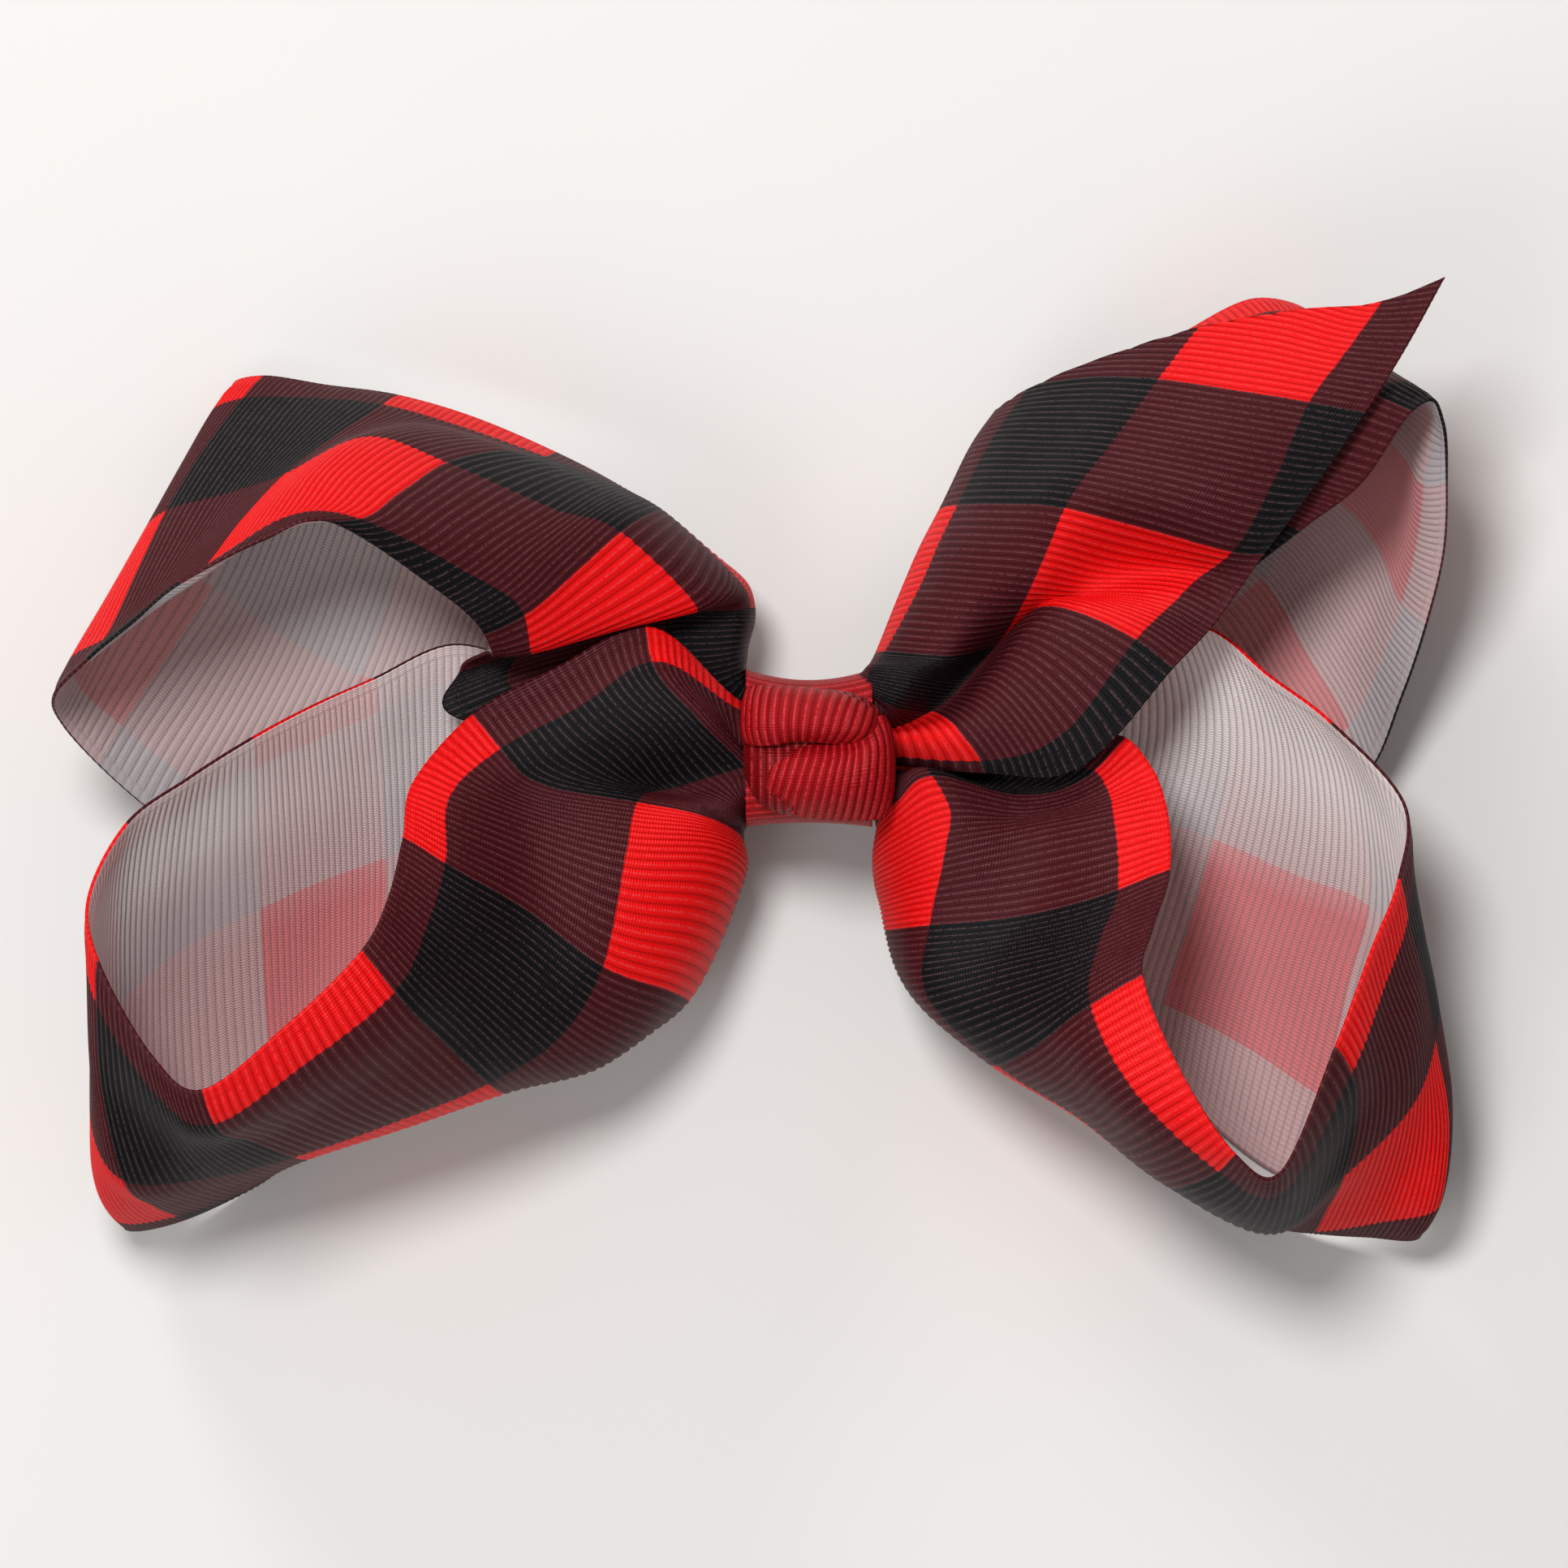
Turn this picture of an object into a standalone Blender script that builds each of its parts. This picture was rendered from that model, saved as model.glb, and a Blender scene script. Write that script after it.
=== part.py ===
# Hair bow: two pairs of ribbon loops and one loose tail gathered into a tied knot, with a clip behind.
# Frame: metres, +X to the right and +Y up as the front is seen, +Z out of the front. It lies on z = 0.
import math

import bmesh
import bpy
import numpy as np

MM = 0.001

# Overall sizes in millimetres
bow_width = 164.6        # tip of the left loops to the outside of the right loops
bow_height = 113.4       # bottom of the right loop to the point of the tail
bow_depth = 53.6         # clip face to the highest ribbon edge

# Ribbon
ribbon_width = 57.0      # selvedge to selvedge
ribbon_wall = 1.0        # wall thickness that stands for the cloth

# Knot and the band that it is tied in
knot_width = 17.4
knot_height = 15.6
knot_rise = 8.6          # front of the band to the front of the knot
knot_foot = 0.9          # height of the knot's upright rim
knot_groove = 1.5        # depth of the valley between the two passes of the knot
knot_squareness = 2.6    # 2 is an oval, more is squarer
knot_fullness = 0.42     # less is fuller towards the rim
knot_shift = 0.3         # how far up the knot sits on the band
band_width = 12.0
band_wall = 1.2
band_corner = 3.6        # inside radius of the band's four bends
band_flare = 0.9         # how far the band's two mouths stand out past its waist
gathering = 0.75         # width of the gathered ribbon at the middle against that at the knot's sides

# Clip
clip_length = 46.0
clip_width = 9.0
clip_height = 7.6
clip_tail = 11.0         # length of the tails behind the spring
clip_tip = 9.0           # length of the jaw's sloping tip
clip_sheet = 1.6

clearance = 0.35         # gap kept between neighbouring pieces

# Ribs of each ribbon: where the rib crosses the length of the ribbon (millimetres at selvedge
# one and at selvedge two) and the points it passes at the seven lines across the width.
# The whole is then scaled to the overall sizes above.
rib_lines = (0.0, 5.5, 17.0, 28.0, 39.0, 50.5, 57.0)
narrow_strip = 8.0       # strips between two lines that are narrower than this aren't divided

lower_left_ribs = (
    ((0, 0), ((-7.5, 5.5, 24), (-7.5, 4.5, 26), (-7.5, 1.5, 27), (-7.5, -2.3, 22),
        (-7.5, -4.5, 26), (-7.5, -6.3, 23), (-7.5, -7, 19))),
    ((15, 15), ((-20, 15, 29), (-19.3, 10.8, 31), (-14, 4.5, 31), (-9.8, -1.2, 27),
        (-9.3, -4.8, 27), (-9.3, -8, 22), (-9.5, -9, 17))),
    ((26, 26), ((-30.5, 10.2, 30), (-27.5, 5.7, 32), (-22, 0.8, 30), (-17.5, -4.1, 24),
        (-11, -6.3, 28), (-8.8, -8.6, 21.5), (-9.2, -10, 15.5))),
    ((37.5, 37.5), ((-40.3, 4.7, 31), (-37, 0.6, 33), (-32, -3.5, 31.5), (-21, -5.8, 29),
        (-12.2, -7.4, 27.5), (-8.8, -10.4, 19.5), (-9.5, -12.4, 12.8))),
    ((48, 48), ((-47, -3, 36), (-42.8, -4.8, 37), (-33, -8.5, 32), (-22.3, -11.5, 31),
        (-12.5, -12, 26), (-8.7, -14.5, 16), (-10, -16.5, 9.5))),
    ((60, 60), ((-48.2, -9.7, 42), (-43.4, -12.8, 42), (-34, -18.3, 35), (-25.1, -24.8, 32),
        (-17.5, -27.5, 25), (-15.3, -29, 14), (-16.5, -29.5, 8))),
    ((71, 71), ((-49.7, -16.5, 48), (-45.5, -20, 46), (-37.5, -26.5, 39), (-30, -32.8, 33),
        (-25, -36, 23.5), (-25, -35, 12), (-25.5, -34.5, 6))),
    ((82.5, 82.5), ((-52.8, -22.8, 53), (-49.2, -27.6, 51), (-43.5, -33.5, 42.5), (-38.5, -38.3, 33.5),
        (-36.5, -39.5, 23), (-36.5, -38.5, 11.5), (-37, -38, 5))),
    ((94, 94), ((-61.5, -31.5, 54.5), (-59.5, -35.8, 52), (-55, -40.3, 42), (-50, -43, 32),
        (-48, -43.5, 21.5), (-48, -42.5, 10), (-48, -42, 3.5))),
    ((105, 105), ((-71.3, -39, 53), (-70, -42.7, 50), (-66, -44.8, 40), (-61.3, -46.9, 30.5),
        (-59.5, -47.2, 20), (-59.5, -46.5, 9), (-59.5, -46, 2.5))),
    ((116, 116), ((-77.3, -35, 51), (-76, -40, 49), (-74, -45.5, 39.5), (-71, -49.3, 30),
        (-68.5, -50.7, 19.5), (-67, -51, 8.5), (-66.5, -51, 2))),
    ((127.5, 127.5), ((-83.7, -24, 46), (-83.6, -29, 44.5), (-83.2, -39, 39), (-81, -49.7, 33),
        (-78, -52.7, 23.5), (-75.5, -54.2, 12), (-74.3, -54.8, 5.5))),
    ((139, 139), ((-84.8, -16.5, 43), (-84.6, -20, 40), (-84.6, -31, 35), (-84.8, -42, 30),
        (-84.6, -50, 22.5), (-82.5, -54.8, 13), (-80.5, -56.3, 7))),
    ((150, 150), ((-80.5, -8, 39), (-81.5, -11.5, 35.5), (-82.5, -21, 29.5), (-82.7, -30.5, 23.5),
        (-83, -40, 17), (-82.5, -50, 11), (-81.5, -55, 7))),
    ((161, 161), ((-73.5, -2.8, 36), (-74.3, -6, 32), (-75.5, -15, 25), (-76, -23.5, 18.5),
        (-76, -33, 13), (-75.5, -43, 8), (-75, -49, 5.5))),
    ((172.5, 172.5), ((-66, 2, 33), (-66, -1.3, 29), (-66, -9.5, 21.5), (-65.8, -18, 14.5),
        (-65.5, -27.5, 9), (-65, -37.5, 4.5), (-65, -44, 2.5))),
    ((184, 184), ((-59, 5.8, 28.5), (-58.8, 2, 25), (-58.3, -6, 18), (-58, -14.5, 11.5),
        (-58, -24.5, 6.5), (-58, -35, 3.5), (-58, -41.5, 2))),
    ((195, 195), ((-52, 9, 24), (-51.8, 5.2, 21.5), (-51.3, -3, 15), (-51, -12, 9.5),
        (-51, -22, 5.5), (-50, -32, 3), (-49.5, -38, 2))),
    ((206, 206), ((-43, 13, 20.5), (-43, 9, 18), (-43, 0, 13), (-43, -9, 8.5),
        (-42, -18.5, 5.5), (-40.5, -29, 3), (-39.5, -35, 2.5))),
    ((218, 218), ((-33, 10.5, 18), (-32.5, 7, 16.5), (-32.5, 0, 13.5), (-32, -7.5, 9.5),
        (-31, -15, 6.5), (-29, -24, 4.5), (-28, -29, 4))),
    ((235, 235), ((-18, 7, 17), (-18, 5, 16), (-18, 1, 14.8), (-18, -2.5, 13.8),
        (-18, -5.5, 13), (-17.5, -8.5, 12.5), (-17, -10.5, 12.5))),
    ((247, 247), ((-7.5, 4.5, 15.5), (-7.5, 3, 15), (-7.5, 1.5, 14.7), (-7.5, 0, 14.5),
        (-7.5, -1.5, 14.5), (-7.5, -3.2, 14.7), (-7.5, -4.5, 15))),
)

upper_left_ribs = (
    ((0, 0), ((-7.5, 8.3, 16), (-7.5, 7.9, 18.5), (-7.5, 6.8, 20.5), (-7.5, 5.6, 20.5),
        (-7.5, 4.4, 20), (-7.5, 3, 19.5), (-7.5, 2, 19.3))),
    ((8, 8), ((-8.2, 12, 14.5), (-8.8, 11.7, 18.5), (-11.5, 11, 21.5), (-16, 10.5, 22),
        (-23, 9, 22.3), (-32, 6.3, 22.5), (-38.5, 3.5, 22.5))),
    ((16, 20), ((-7.3, 16, 14), (-8, 16.3, 18.5), (-11.5, 16.6, 21.8), (-17.5, 16.8, 23),
        (-25.5, 15, 23.5), (-35, 12.4, 23.5), (-41.8, 10, 23.5))),
    ((22, 29.5), ((-7.4, 18.2, 14.5), (-8.1, 18.1, 18.8), (-10.9, 17.9, 23), (-16, 17.3, 26),
        (-25, 15.8, 27.5), (-33.8, 13.6, 28.5), (-38.8, 12, 28.5))),
    ((28, 39), ((-8.2, 20.3, 15), (-8.9, 19.9, 20), (-10.5, 18.9, 25.5), (-14.2, 17.7, 29.3),
        (-24, 15.3, 32), (-33.5, 12.7, 34), (-38, 12.3, 34.5))),
    ((42.5, 42.5), ((-17, 27, 13), (-17.8, 28.3, 18), (-19.8, 28, 27), (-23, 26, 33),
        (-28.2, 21.5, 36), (-34.2, 16.5, 37), (-38.8, 14.2, 37))),
    ((53, 53), ((-22.8, 31.5, 10), (-23.7, 31.6, 15.5), (-26.5, 31, 26), (-30.5, 28.5, 34),
        (-36, 25, 39), (-41, 21.5, 41), (-44.5, 19.5, 41))),
    ((65, 65), ((-30.8, 35.8, 8), (-32, 35, 13.3), (-37, 35.5, 24.5), (-43.3, 34, 33.5),
        (-48.5, 30.5, 41), (-53.2, 27.3, 46), (-57, 27.2, 47.5))),
    ((76, 76), ((-40.3, 39.9, 7), (-42, 38.6, 12.2), (-46.8, 38.5, 22.5), (-52.5, 37, 32),
        (-57.5, 33, 39.5), (-61.5, 27.5, 46), (-64.5, 25, 48.5))),
    ((87.5, 87.5), ((-49.5, 42.6, 7), (-51.2, 41.2, 12.2), (-56.5, 37.3, 23.2), (-62, 32.7, 33),
        (-67, 27, 41), (-71.8, 20.8, 47.5), (-74, 20, 49.5))),
    ((99, 99), ((-58, 43.8, 7), (-60, 42, 12), (-64, 36.8, 22.3), (-68.5, 30.5, 31.5),
        (-72.5, 24, 39.5), (-77, 17.5, 46), (-79.5, 15.5, 48.5))),
    ((110, 110), ((-65.5, 44.9, 7), (-67.7, 42, 11.5), (-72, 35.7, 20.7), (-76, 28.5, 29),
        (-79.3, 21, 36.5), (-82.8, 13.3, 43), (-85, 11, 46))),
    ((118, 118), ((-68.8, 44.2, 6.5), (-71, 40.8, 10.5), (-74.6, 34, 18.2), (-78.5, 26.5, 25),
        (-82.8, 18.5, 31), (-87, 11, 36.5), (-89, 7, 39))),
    ((126, 126), ((-67.7, 42.5, 5), (-69.5, 39.5, 8.3), (-73.5, 32, 14), (-78, 24, 19.5),
        (-82.3, 15.5, 24), (-86.3, 7.5, 28), (-88.3, 3.5, 30))),
    ((132.5, 132.5), ((-62.5, 41.5, 4), (-64, 37.5, 6.5), (-67.5, 28.5, 10.5), (-71.5, 20, 14),
        (-76.5, 12, 18), (-82, 3.5, 22), (-84.5, -1, 24))),
    ((144, 144), ((-54.5, 38, 3), (-56, 33.5, 5), (-59.5, 23.5, 7.5), (-63, 14, 9.5),
        (-67.5, 5, 12), (-72.5, -4, 14.5), (-75, -9, 16))),
    ((155, 155), ((-46, 34, 3), (-47.5, 29, 4), (-50.5, 19, 5.5), (-54, 9.5, 7),
        (-58.5, 0.5, 8.5), (-63.5, -8, 9.5), (-66, -13, 10))),
    ((172, 172), ((-33, 27.5, 4), (-34, 23, 4.5), (-37, 14.5, 5.5), (-40, 6, 6),
        (-44, -2, 6), (-48, -10, 5), (-50, -14, 4.5))),
    ((190, 190), ((-21, 18.5, 8), (-22, 15.5, 8.3), (-24, 10, 9), (-26, 4, 9),
        (-28, -2, 8), (-31, -7.5, 6), (-32, -10, 5.3))),
    ((199, 199), ((-14, 11.5, 10), (-14.5, 9.5, 10.2), (-15.5, 6, 10.5), (-16.5, 2, 10.5),
        (-17.5, -1.5, 10.2), (-18.5, -5, 9.5), (-19, -7, 9.2))),
    ((208, 208), ((-7.5, 6.5, 11.3), (-7.5, 5.5, 11.3), (-7.5, 3.5, 11.3), (-7.5, 1.5, 11.3),
        (-7.5, -0.5, 11.3), (-7.5, -2.5, 11.3), (-7.5, -3.5, 11.3))),
)

tail_ribs = (
    ((0, 0), ((7.5, 8.5, 22), (7.5, 7.5, 26), (7.5, 5, 27), (7.5, 2.8, 23),
        (7.5, 2, 27), (7.5, 0.3, 26), (7.5, -0.8, 24))),
    ((8, 8), ((7.2, 9.2, 21), (7.8, 8.9, 26.6), (11.2, 7.4, 28.2), (13.5, 5, 22),
        (16.5, 3.2, 29), (19.5, -0.5, 28.5), (20, -2, 27.5))),
    ((19, 19), ((7, 10.2, 18.5), (7.3, 10.4, 24.5), (12.6, 9.8, 28.6), (18, 9, 21),
        (22.5, 9.5, 30), (29, 2.5, 32), (31, -1.5, 31))),
    ((30.5, 30.5), ((7.2, 11.9, 16.5), (8.4, 12, 22.5), (15, 11.8, 28.8), (21.5, 13.5, 22),
        (27.5, 17.3, 31), (37.6, 13.6, 34.5), (42, 10.3, 34))),
    ((42, 42), ((10.5, 20, 16), (13, 20.6, 22.5), (19, 20.4, 30.5), (25.3, 20, 33.5),
        (31.5, 19.3, 30), (42.5, 18.3, 36), (47.2, 16, 36))),
    ((48, 48), ((12.6, 24.8, 15.5), (15, 25.2, 21.8), (21, 25.1, 31), (27.4, 24.7, 36),
        (35.2, 22.9, 32.3), (45.7, 21.3, 34.6), (50, 19.9, 36.3))),
    ((53, 53), ((14.8, 29, 15), (17, 29.3, 21), (23, 29.3, 31), (29.3, 28.9, 38),
        (38, 26.9, 39), (48.8, 24, 38), (52.5, 23.6, 37.5))),
    ((64, 64), ((18.5, 36.5, 13.5), (21, 37, 19.5), (28, 36.8, 30), (34.8, 36.3, 38.5),
        (43.5, 34.8, 42), (53.8, 32.8, 42.5), (58.8, 32.2, 42))),
    ((75.5, 75.5), ((22.5, 42.3, 11.5), (25.5, 43.3, 17.5), (33, 44.2, 28.5), (40.3, 43.8, 37.5),
        (48.5, 42.6, 42.5), (57.6, 41.2, 45), (64.2, 40, 45.5))),
    ((86, 86), ((26, 48.5, 9.5), (29.5, 49, 15.5), (37.5, 50.2, 27.5), (45.5, 50.5, 36.5),
        (54, 49.4, 42.5), (62.3, 47.5, 46), (68.5, 47, 47.5))),
    ((98, 98), ((30, 55, 8), (33.5, 55.5, 14), (42, 57, 26.5), (51, 57.5, 35.5),
        (59.5, 56.5, 42), (67.3, 54.5, 47), (73.2, 55.6, 49))),
)

lower_right_ribs = (
    ((0, 0), ((7.5, -1.5, 21), (7.5, -2, 23), (7.5, -3, 25), (7.5, -4, 26),
        (7.5, -5.2, 25.5), (7.5, -6.5, 23), (7.5, -7.5, 19))),
    ((12, 12), ((18, -1.2, 21.5), (17, -2.5, 21), (14, -4, 22.8), (9.7, -2.9, 27),
        (8.4, -4.9, 27), (7.5, -7.3, 23), (7.5, -8.2, 18.5))),
    ((20.5, 20.5), ((26.5, 0.8, 25), (23.5, -1.8, 24), (17.8, -4.8, 22), (11.3, -2.4, 28.3),
        (9, -4.9, 28), (7.5, -7.6, 23), (7.6, -8.7, 18))),
    ((30, 30), ((36.5, 2, 29), (33, -2, 28.5), (24, -5, 24.5), (13.6, -2.6, 29.3),
        (9.8, -5.4, 28.8), (7.6, -8.4, 22.5), (7.9, -9.6, 16.5))),
    ((35, 35), ((39.5, -1.5, 31), (34.5, -4.4, 30.5), (25, -7.2, 26), (15.7, -6.4, 29.6),
        (10, -9, 27.5), (7.1, -11.7, 18.5), (8, -12.8, 12.5))),
    ((41, 41), ((41, -5.5, 33.5), (35, -7, 33), (25.5, -9, 28.5), (15.3, -11, 30),
        (9.5, -13.5, 24.5), (7.3, -15, 14), (8.5, -16, 8))),
    ((52.5, 52.5), ((41.4, -13.5, 39), (35.5, -16, 38), (24.5, -19, 31.5), (13.6, -20, 29),
        (8.8, -20.5, 20), (9.3, -20, 10), (10.5, -19.5, 5))),
    ((64, 64), ((39.3, -20, 45), (33, -22.8, 43), (22, -26, 35), (13.3, -28.2, 29.5),
        (11.3, -27.7, 19), (13, -26.5, 8.5), (14, -26, 3.5))),
    ((75, 75), ((38, -25.7, 50), (32.2, -29.3, 48), (26, -34, 40), (21.5, -36.2, 30),
        (20, -35.3, 19), (20.5, -34.7, 8), (21, -34.5, 2.5))),
    ((86, 86), ((42, -36, 52.5), (37, -38.8, 51), (33, -42, 41), (31, -42.3, 30),
        (30, -41.5, 19.5), (30.5, -41, 9), (30.5, -40.5, 2.5))),
    ((97.5, 97.5), ((48.7, -46.5, 52.5), (47, -48.2, 48.5), (42.5, -50.3, 38.5), (41, -50, 28),
        (41, -49, 18), (41, -48.5, 8), (41, -48, 2))),
    ((108, 108), ((54, -48.7, 51), (54, -51, 46.5), (53.5, -54.5, 36.5), (53, -56, 27),
        (53, -55.5, 17), (53.5, -55, 7.5), (53.5, -54.5, 2))),
    ((120, 120), ((60.6, -34, 47), (62.3, -37, 44.5), (63, -43, 37), (61.8, -49.3, 30),
        (60.3, -53, 21), (59.2, -56.1, 10.5), (58.8, -56.5, 4.5))),
    ((131, 131), ((64.8, -23, 44), (66, -27.5, 41), (69, -35, 36), (69.5, -41.5, 30.5),
        (68.5, -48.5, 23), (66.5, -55, 14), (65.5, -57, 8))),
    ((142.5, 142.5), ((68.2, -14.5, 40), (69, -19, 37.5), (71, -26, 33), (72.5, -33.5, 28.5),
        (74.3, -43, 23), (73.4, -53.2, 16.5), (71.5, -57, 11))),
    ((154, 154), ((68.8, -5.5, 35.5), (69.2, -10, 32.5), (70.5, -18, 27.5), (72.3, -27, 23),
        (73, -36.5, 18), (71.5, -46.5, 13), (69.5, -52, 9))),
    ((165, 165), ((60.5, 3.8, 31), (63.3, -0.5, 28), (65.5, -9, 22), (65.8, -17.8, 16.5),
        (63.5, -26.8, 11), (60.2, -39.2, 6), (57.6, -48, 3.4))),
    ((176, 176), ((53.5, 9.2, 27), (56, 4.5, 24), (58, -4.5, 18), (57, -14, 12),
        (54.3, -23, 8), (51, -34.4, 4.3), (48.8, -43.6, 2.7))),
    ((187.5, 187.5), ((46, 15, 23), (48, 10, 20.5), (49.3, 0.5, 15), (47.3, -9.8, 10),
        (44.5, -19.8, 6.5), (41.5, -29.5, 4), (40.3, -36.2, 3))),
    ((199, 199), ((36, 15, 18.5), (38, 11.5, 16.8), (39, 3, 13), (37, -6.5, 9.3),
        (34.5, -16, 7), (31.5, -25.5, 5), (30, -31, 4.5))),
    ((213, 213), ((25, 9, 15), (26, 7, 14.7), (26, 2.8, 13.8), (25, -3.5, 11.8),
        (24, -10, 10), (22, -16.5, 8.5), (21, -20.5, 8))),
    ((225, 225), ((15, 6, 15), (15, 5, 14.9), (15, 2.8, 14.7), (15, 0, 14.3),
        (15, -3.8, 13.7), (14.5, -7.5, 13), (14, -9.5, 13))),
    ((235, 235), ((7.5, 4.5, 15.5), (7.5, 3.2, 15.2), (7.5, 1.6, 14.9), (7.5, 0, 14.7),
        (7.5, -1.6, 14.7), (7.5, -3.2, 14.9), (7.5, -4.5, 15.2))),
)

upper_right_ribs = (
    ((0, 0), ((7.5, 8, 15), (7.5, 7.4, 17), (7.5, 6.2, 18.5), (7.5, 5, 19),
        (7.5, 3.6, 19), (7.5, 2.2, 18.8), (7.5, 1.2, 18.5))),
    ((16, 16), ((11, 19, 7.4), (12.6, 17.4, 10.2), (16, 13.5, 14.5), (19, 10, 17.5),
        (22, 6.5, 19.8), (24.5, 2.5, 21), (25.5, 0.5, 21.5))),
    ((34, 34), ((19.6, 32.2, 4.4), (21.9, 30, 7.7), (27, 24, 14), (31, 18.5, 19),
        (34, 13.5, 23), (36.5, 8.5, 26), (37, 6.5, 27))),
    ((52, 52), ((31.6, 43.1, 3.5), (34.5, 41.4, 7.6), (39.5, 35.5, 15.5), (43, 30, 22),
        (45.5, 25, 26.5), (46.5, 20.5, 29), (46.5, 18, 30))),
    ((66, 66), ((42.6, 49.4, 3.9), (44.2, 48.2, 9), (48, 45.3, 17.5), (50.3, 40.3, 24.3),
        (50.8, 34.5, 29), (52.3, 28.9, 33.3), (56.8, 26.3, 36))),
    ((78, 78), ((52, 54.1, 4.2), (53.6, 52.2, 9.5), (55.2, 49.9, 18.5), (55.8, 45.5, 26),
        (56, 39.8, 33), (58.3, 34, 38.3), (64, 32, 40.8))),
    ((88.5, 88.5), ((58.3, 52.8, 3.9), (59.5, 51.4, 9), (61.2, 49.5, 18.3), (62.5, 46.8, 27),
        (63.3, 44.6, 35), (64.8, 42.2, 41.8), (69.6, 40.1, 44.6))),
    ((94, 94), ((58.3, 51.6, 3), (60.2, 50.4, 7.5), (63.6, 48, 17), (65.8, 46, 26.8),
        (67.3, 44.6, 34.8), (69, 43.2, 41.2), (71.9, 41.4, 44.8))),
    ((100, 100), ((55, 50.5, 2.1), (58.8, 49.6, 3.6), (64.5, 46.2, 12.2), (68, 43.6, 21.8),
        (70.2, 42, 30.8), (72.2, 40.4, 38.3), (73.2, 39, 42))),
    ((111, 111), ((50.5, 47.3, 2), (55, 45.7, 3.2), (63, 42, 8.8), (67.2, 38.2, 17),
        (69.8, 34.8, 25.5), (71.6, 31.8, 33), (73.9, 32, 36))),
    ((122, 122), ((44.5, 43, 2), (49, 41, 2.6), (57.5, 38.3, 6), (64.8, 35, 11.5),
        (68.7, 30, 18.5), (71, 25, 26), (73.8, 24, 29))),
    ((133.5, 133.5), ((38.5, 39.5, 2), (43, 37.2, 2.5), (53, 33.8, 4.2), (61.8, 30.5, 7.3),
        (66.8, 24.8, 12.8), (69.5, 18, 19), (72, 15.5, 22))),
    ((145, 145), ((33.7, 36.3, 2), (38.5, 33, 2.4), (48, 29.5, 3.9), (57, 26, 5.6),
        (63, 17.5, 9), (67, 10.5, 13.5), (69.3, 7, 16.5))),
    ((156, 156), ((30, 32.9, 2.4), (35, 29, 3), (44.5, 25.5, 4.1), (53, 21, 5.5),
        (58.5, 12, 7), (63.5, 3.5, 9.5), (65.5, -2, 11))),
    ((170, 170), ((25, 26.4, 3.8), (29, 22.5, 4.4), (36.5, 18.5, 5), (43.5, 14, 5.8),
        (49, 6.5, 6), (54, -1, 5.5), (56, -6, 5.5))),
    ((185, 185), ((20.2, 18.6, 6.1), (23, 15.5, 7), (27, 12.5, 7.5), (30.5, 8.5, 8),
        (34, 3, 7.5), (37.5, -3.5, 5.5), (39, -7.5, 5))),
    ((197, 197), ((14, 11.5, 9.5), (15, 10, 9.8), (17, 7, 10), (18.5, 3.5, 10.4),
        (20, -0.5, 10.6), (21.5, -5, 10.2), (22, -8, 9.6))),
    ((207, 207), ((7.5, 6.5, 11.3), (7.5, 5.5, 11.3), (7.5, 3.5, 11.3), (7.5, 1.5, 11.3),
        (7.5, -0.5, 11.3), (7.5, -2.5, 11.3), (7.5, -3.5, 11.3))),
)

# The end of the tail is cut on the slant: length of ribbon left at each selvedge
tail_cut = (72.5, 98.0)


def clear_scene():
    for item in list(bpy.data.objects):
        bpy.data.objects.remove(item, do_unlink=True)


def smooth_curve(places, points, wanted):
    """Points on a smooth curve through the given points, at the wanted places."""
    places = np.asarray(places, dtype=float)
    points = np.asarray(points, dtype=float)
    spans = places[1:] - places[:-1]
    slopes = (points[1:] - points[:-1]) / spans[:, None]
    tangents = np.zeros_like(points)
    tangents[0] = slopes[0]
    tangents[-1] = slopes[-1]
    before = slopes[:-1] * spans[1:, None]
    after = slopes[1:] * spans[:-1, None]
    tangents[1:-1] = (before + after) / (spans[1:] + spans[:-1])[:, None]
    index = np.clip(np.searchsorted(places, wanted, side="right") - 1, 0, len(places) - 2)
    reach = spans[index][:, None]
    u = ((wanted - places[index])[:, None]) / reach
    start = points[index] * (1 + 2 * u) * (1 - u) ** 2
    start = start + tangents[index] * reach * u * (1 - u) ** 2
    end = points[index + 1] * u * u * (3 - 2 * u)
    return start + end - tangents[index + 1] * reach * u * u * (1 - u)


def gathered_rib(points, x):
    """The rib nearest the knot, moved to the middle of the bow and drawn in."""
    centre = sum(point[1] for point in points) / len(points)
    return [(x, centre + (point[1] - centre) * gathering, point[2]) for point in points]


def run_under_knot(ribs, both_ends):
    """The ribs with the ribbon carried on under the knot to the middle of the bow."""
    rows = list(ribs)
    (place_one, place_two), points = ribs[0]
    middle = math.copysign(clearance, points[0][0])
    length = abs(points[0][0]) - clearance
    rows.insert(0, ((place_one - length, place_two - length), gathered_rib(points, middle)))
    if both_ends:
        (place_one, place_two), points = ribs[-1]
        rows.append(((place_one + length, place_two + length), gathered_rib(points, middle)))
    return rows


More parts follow.
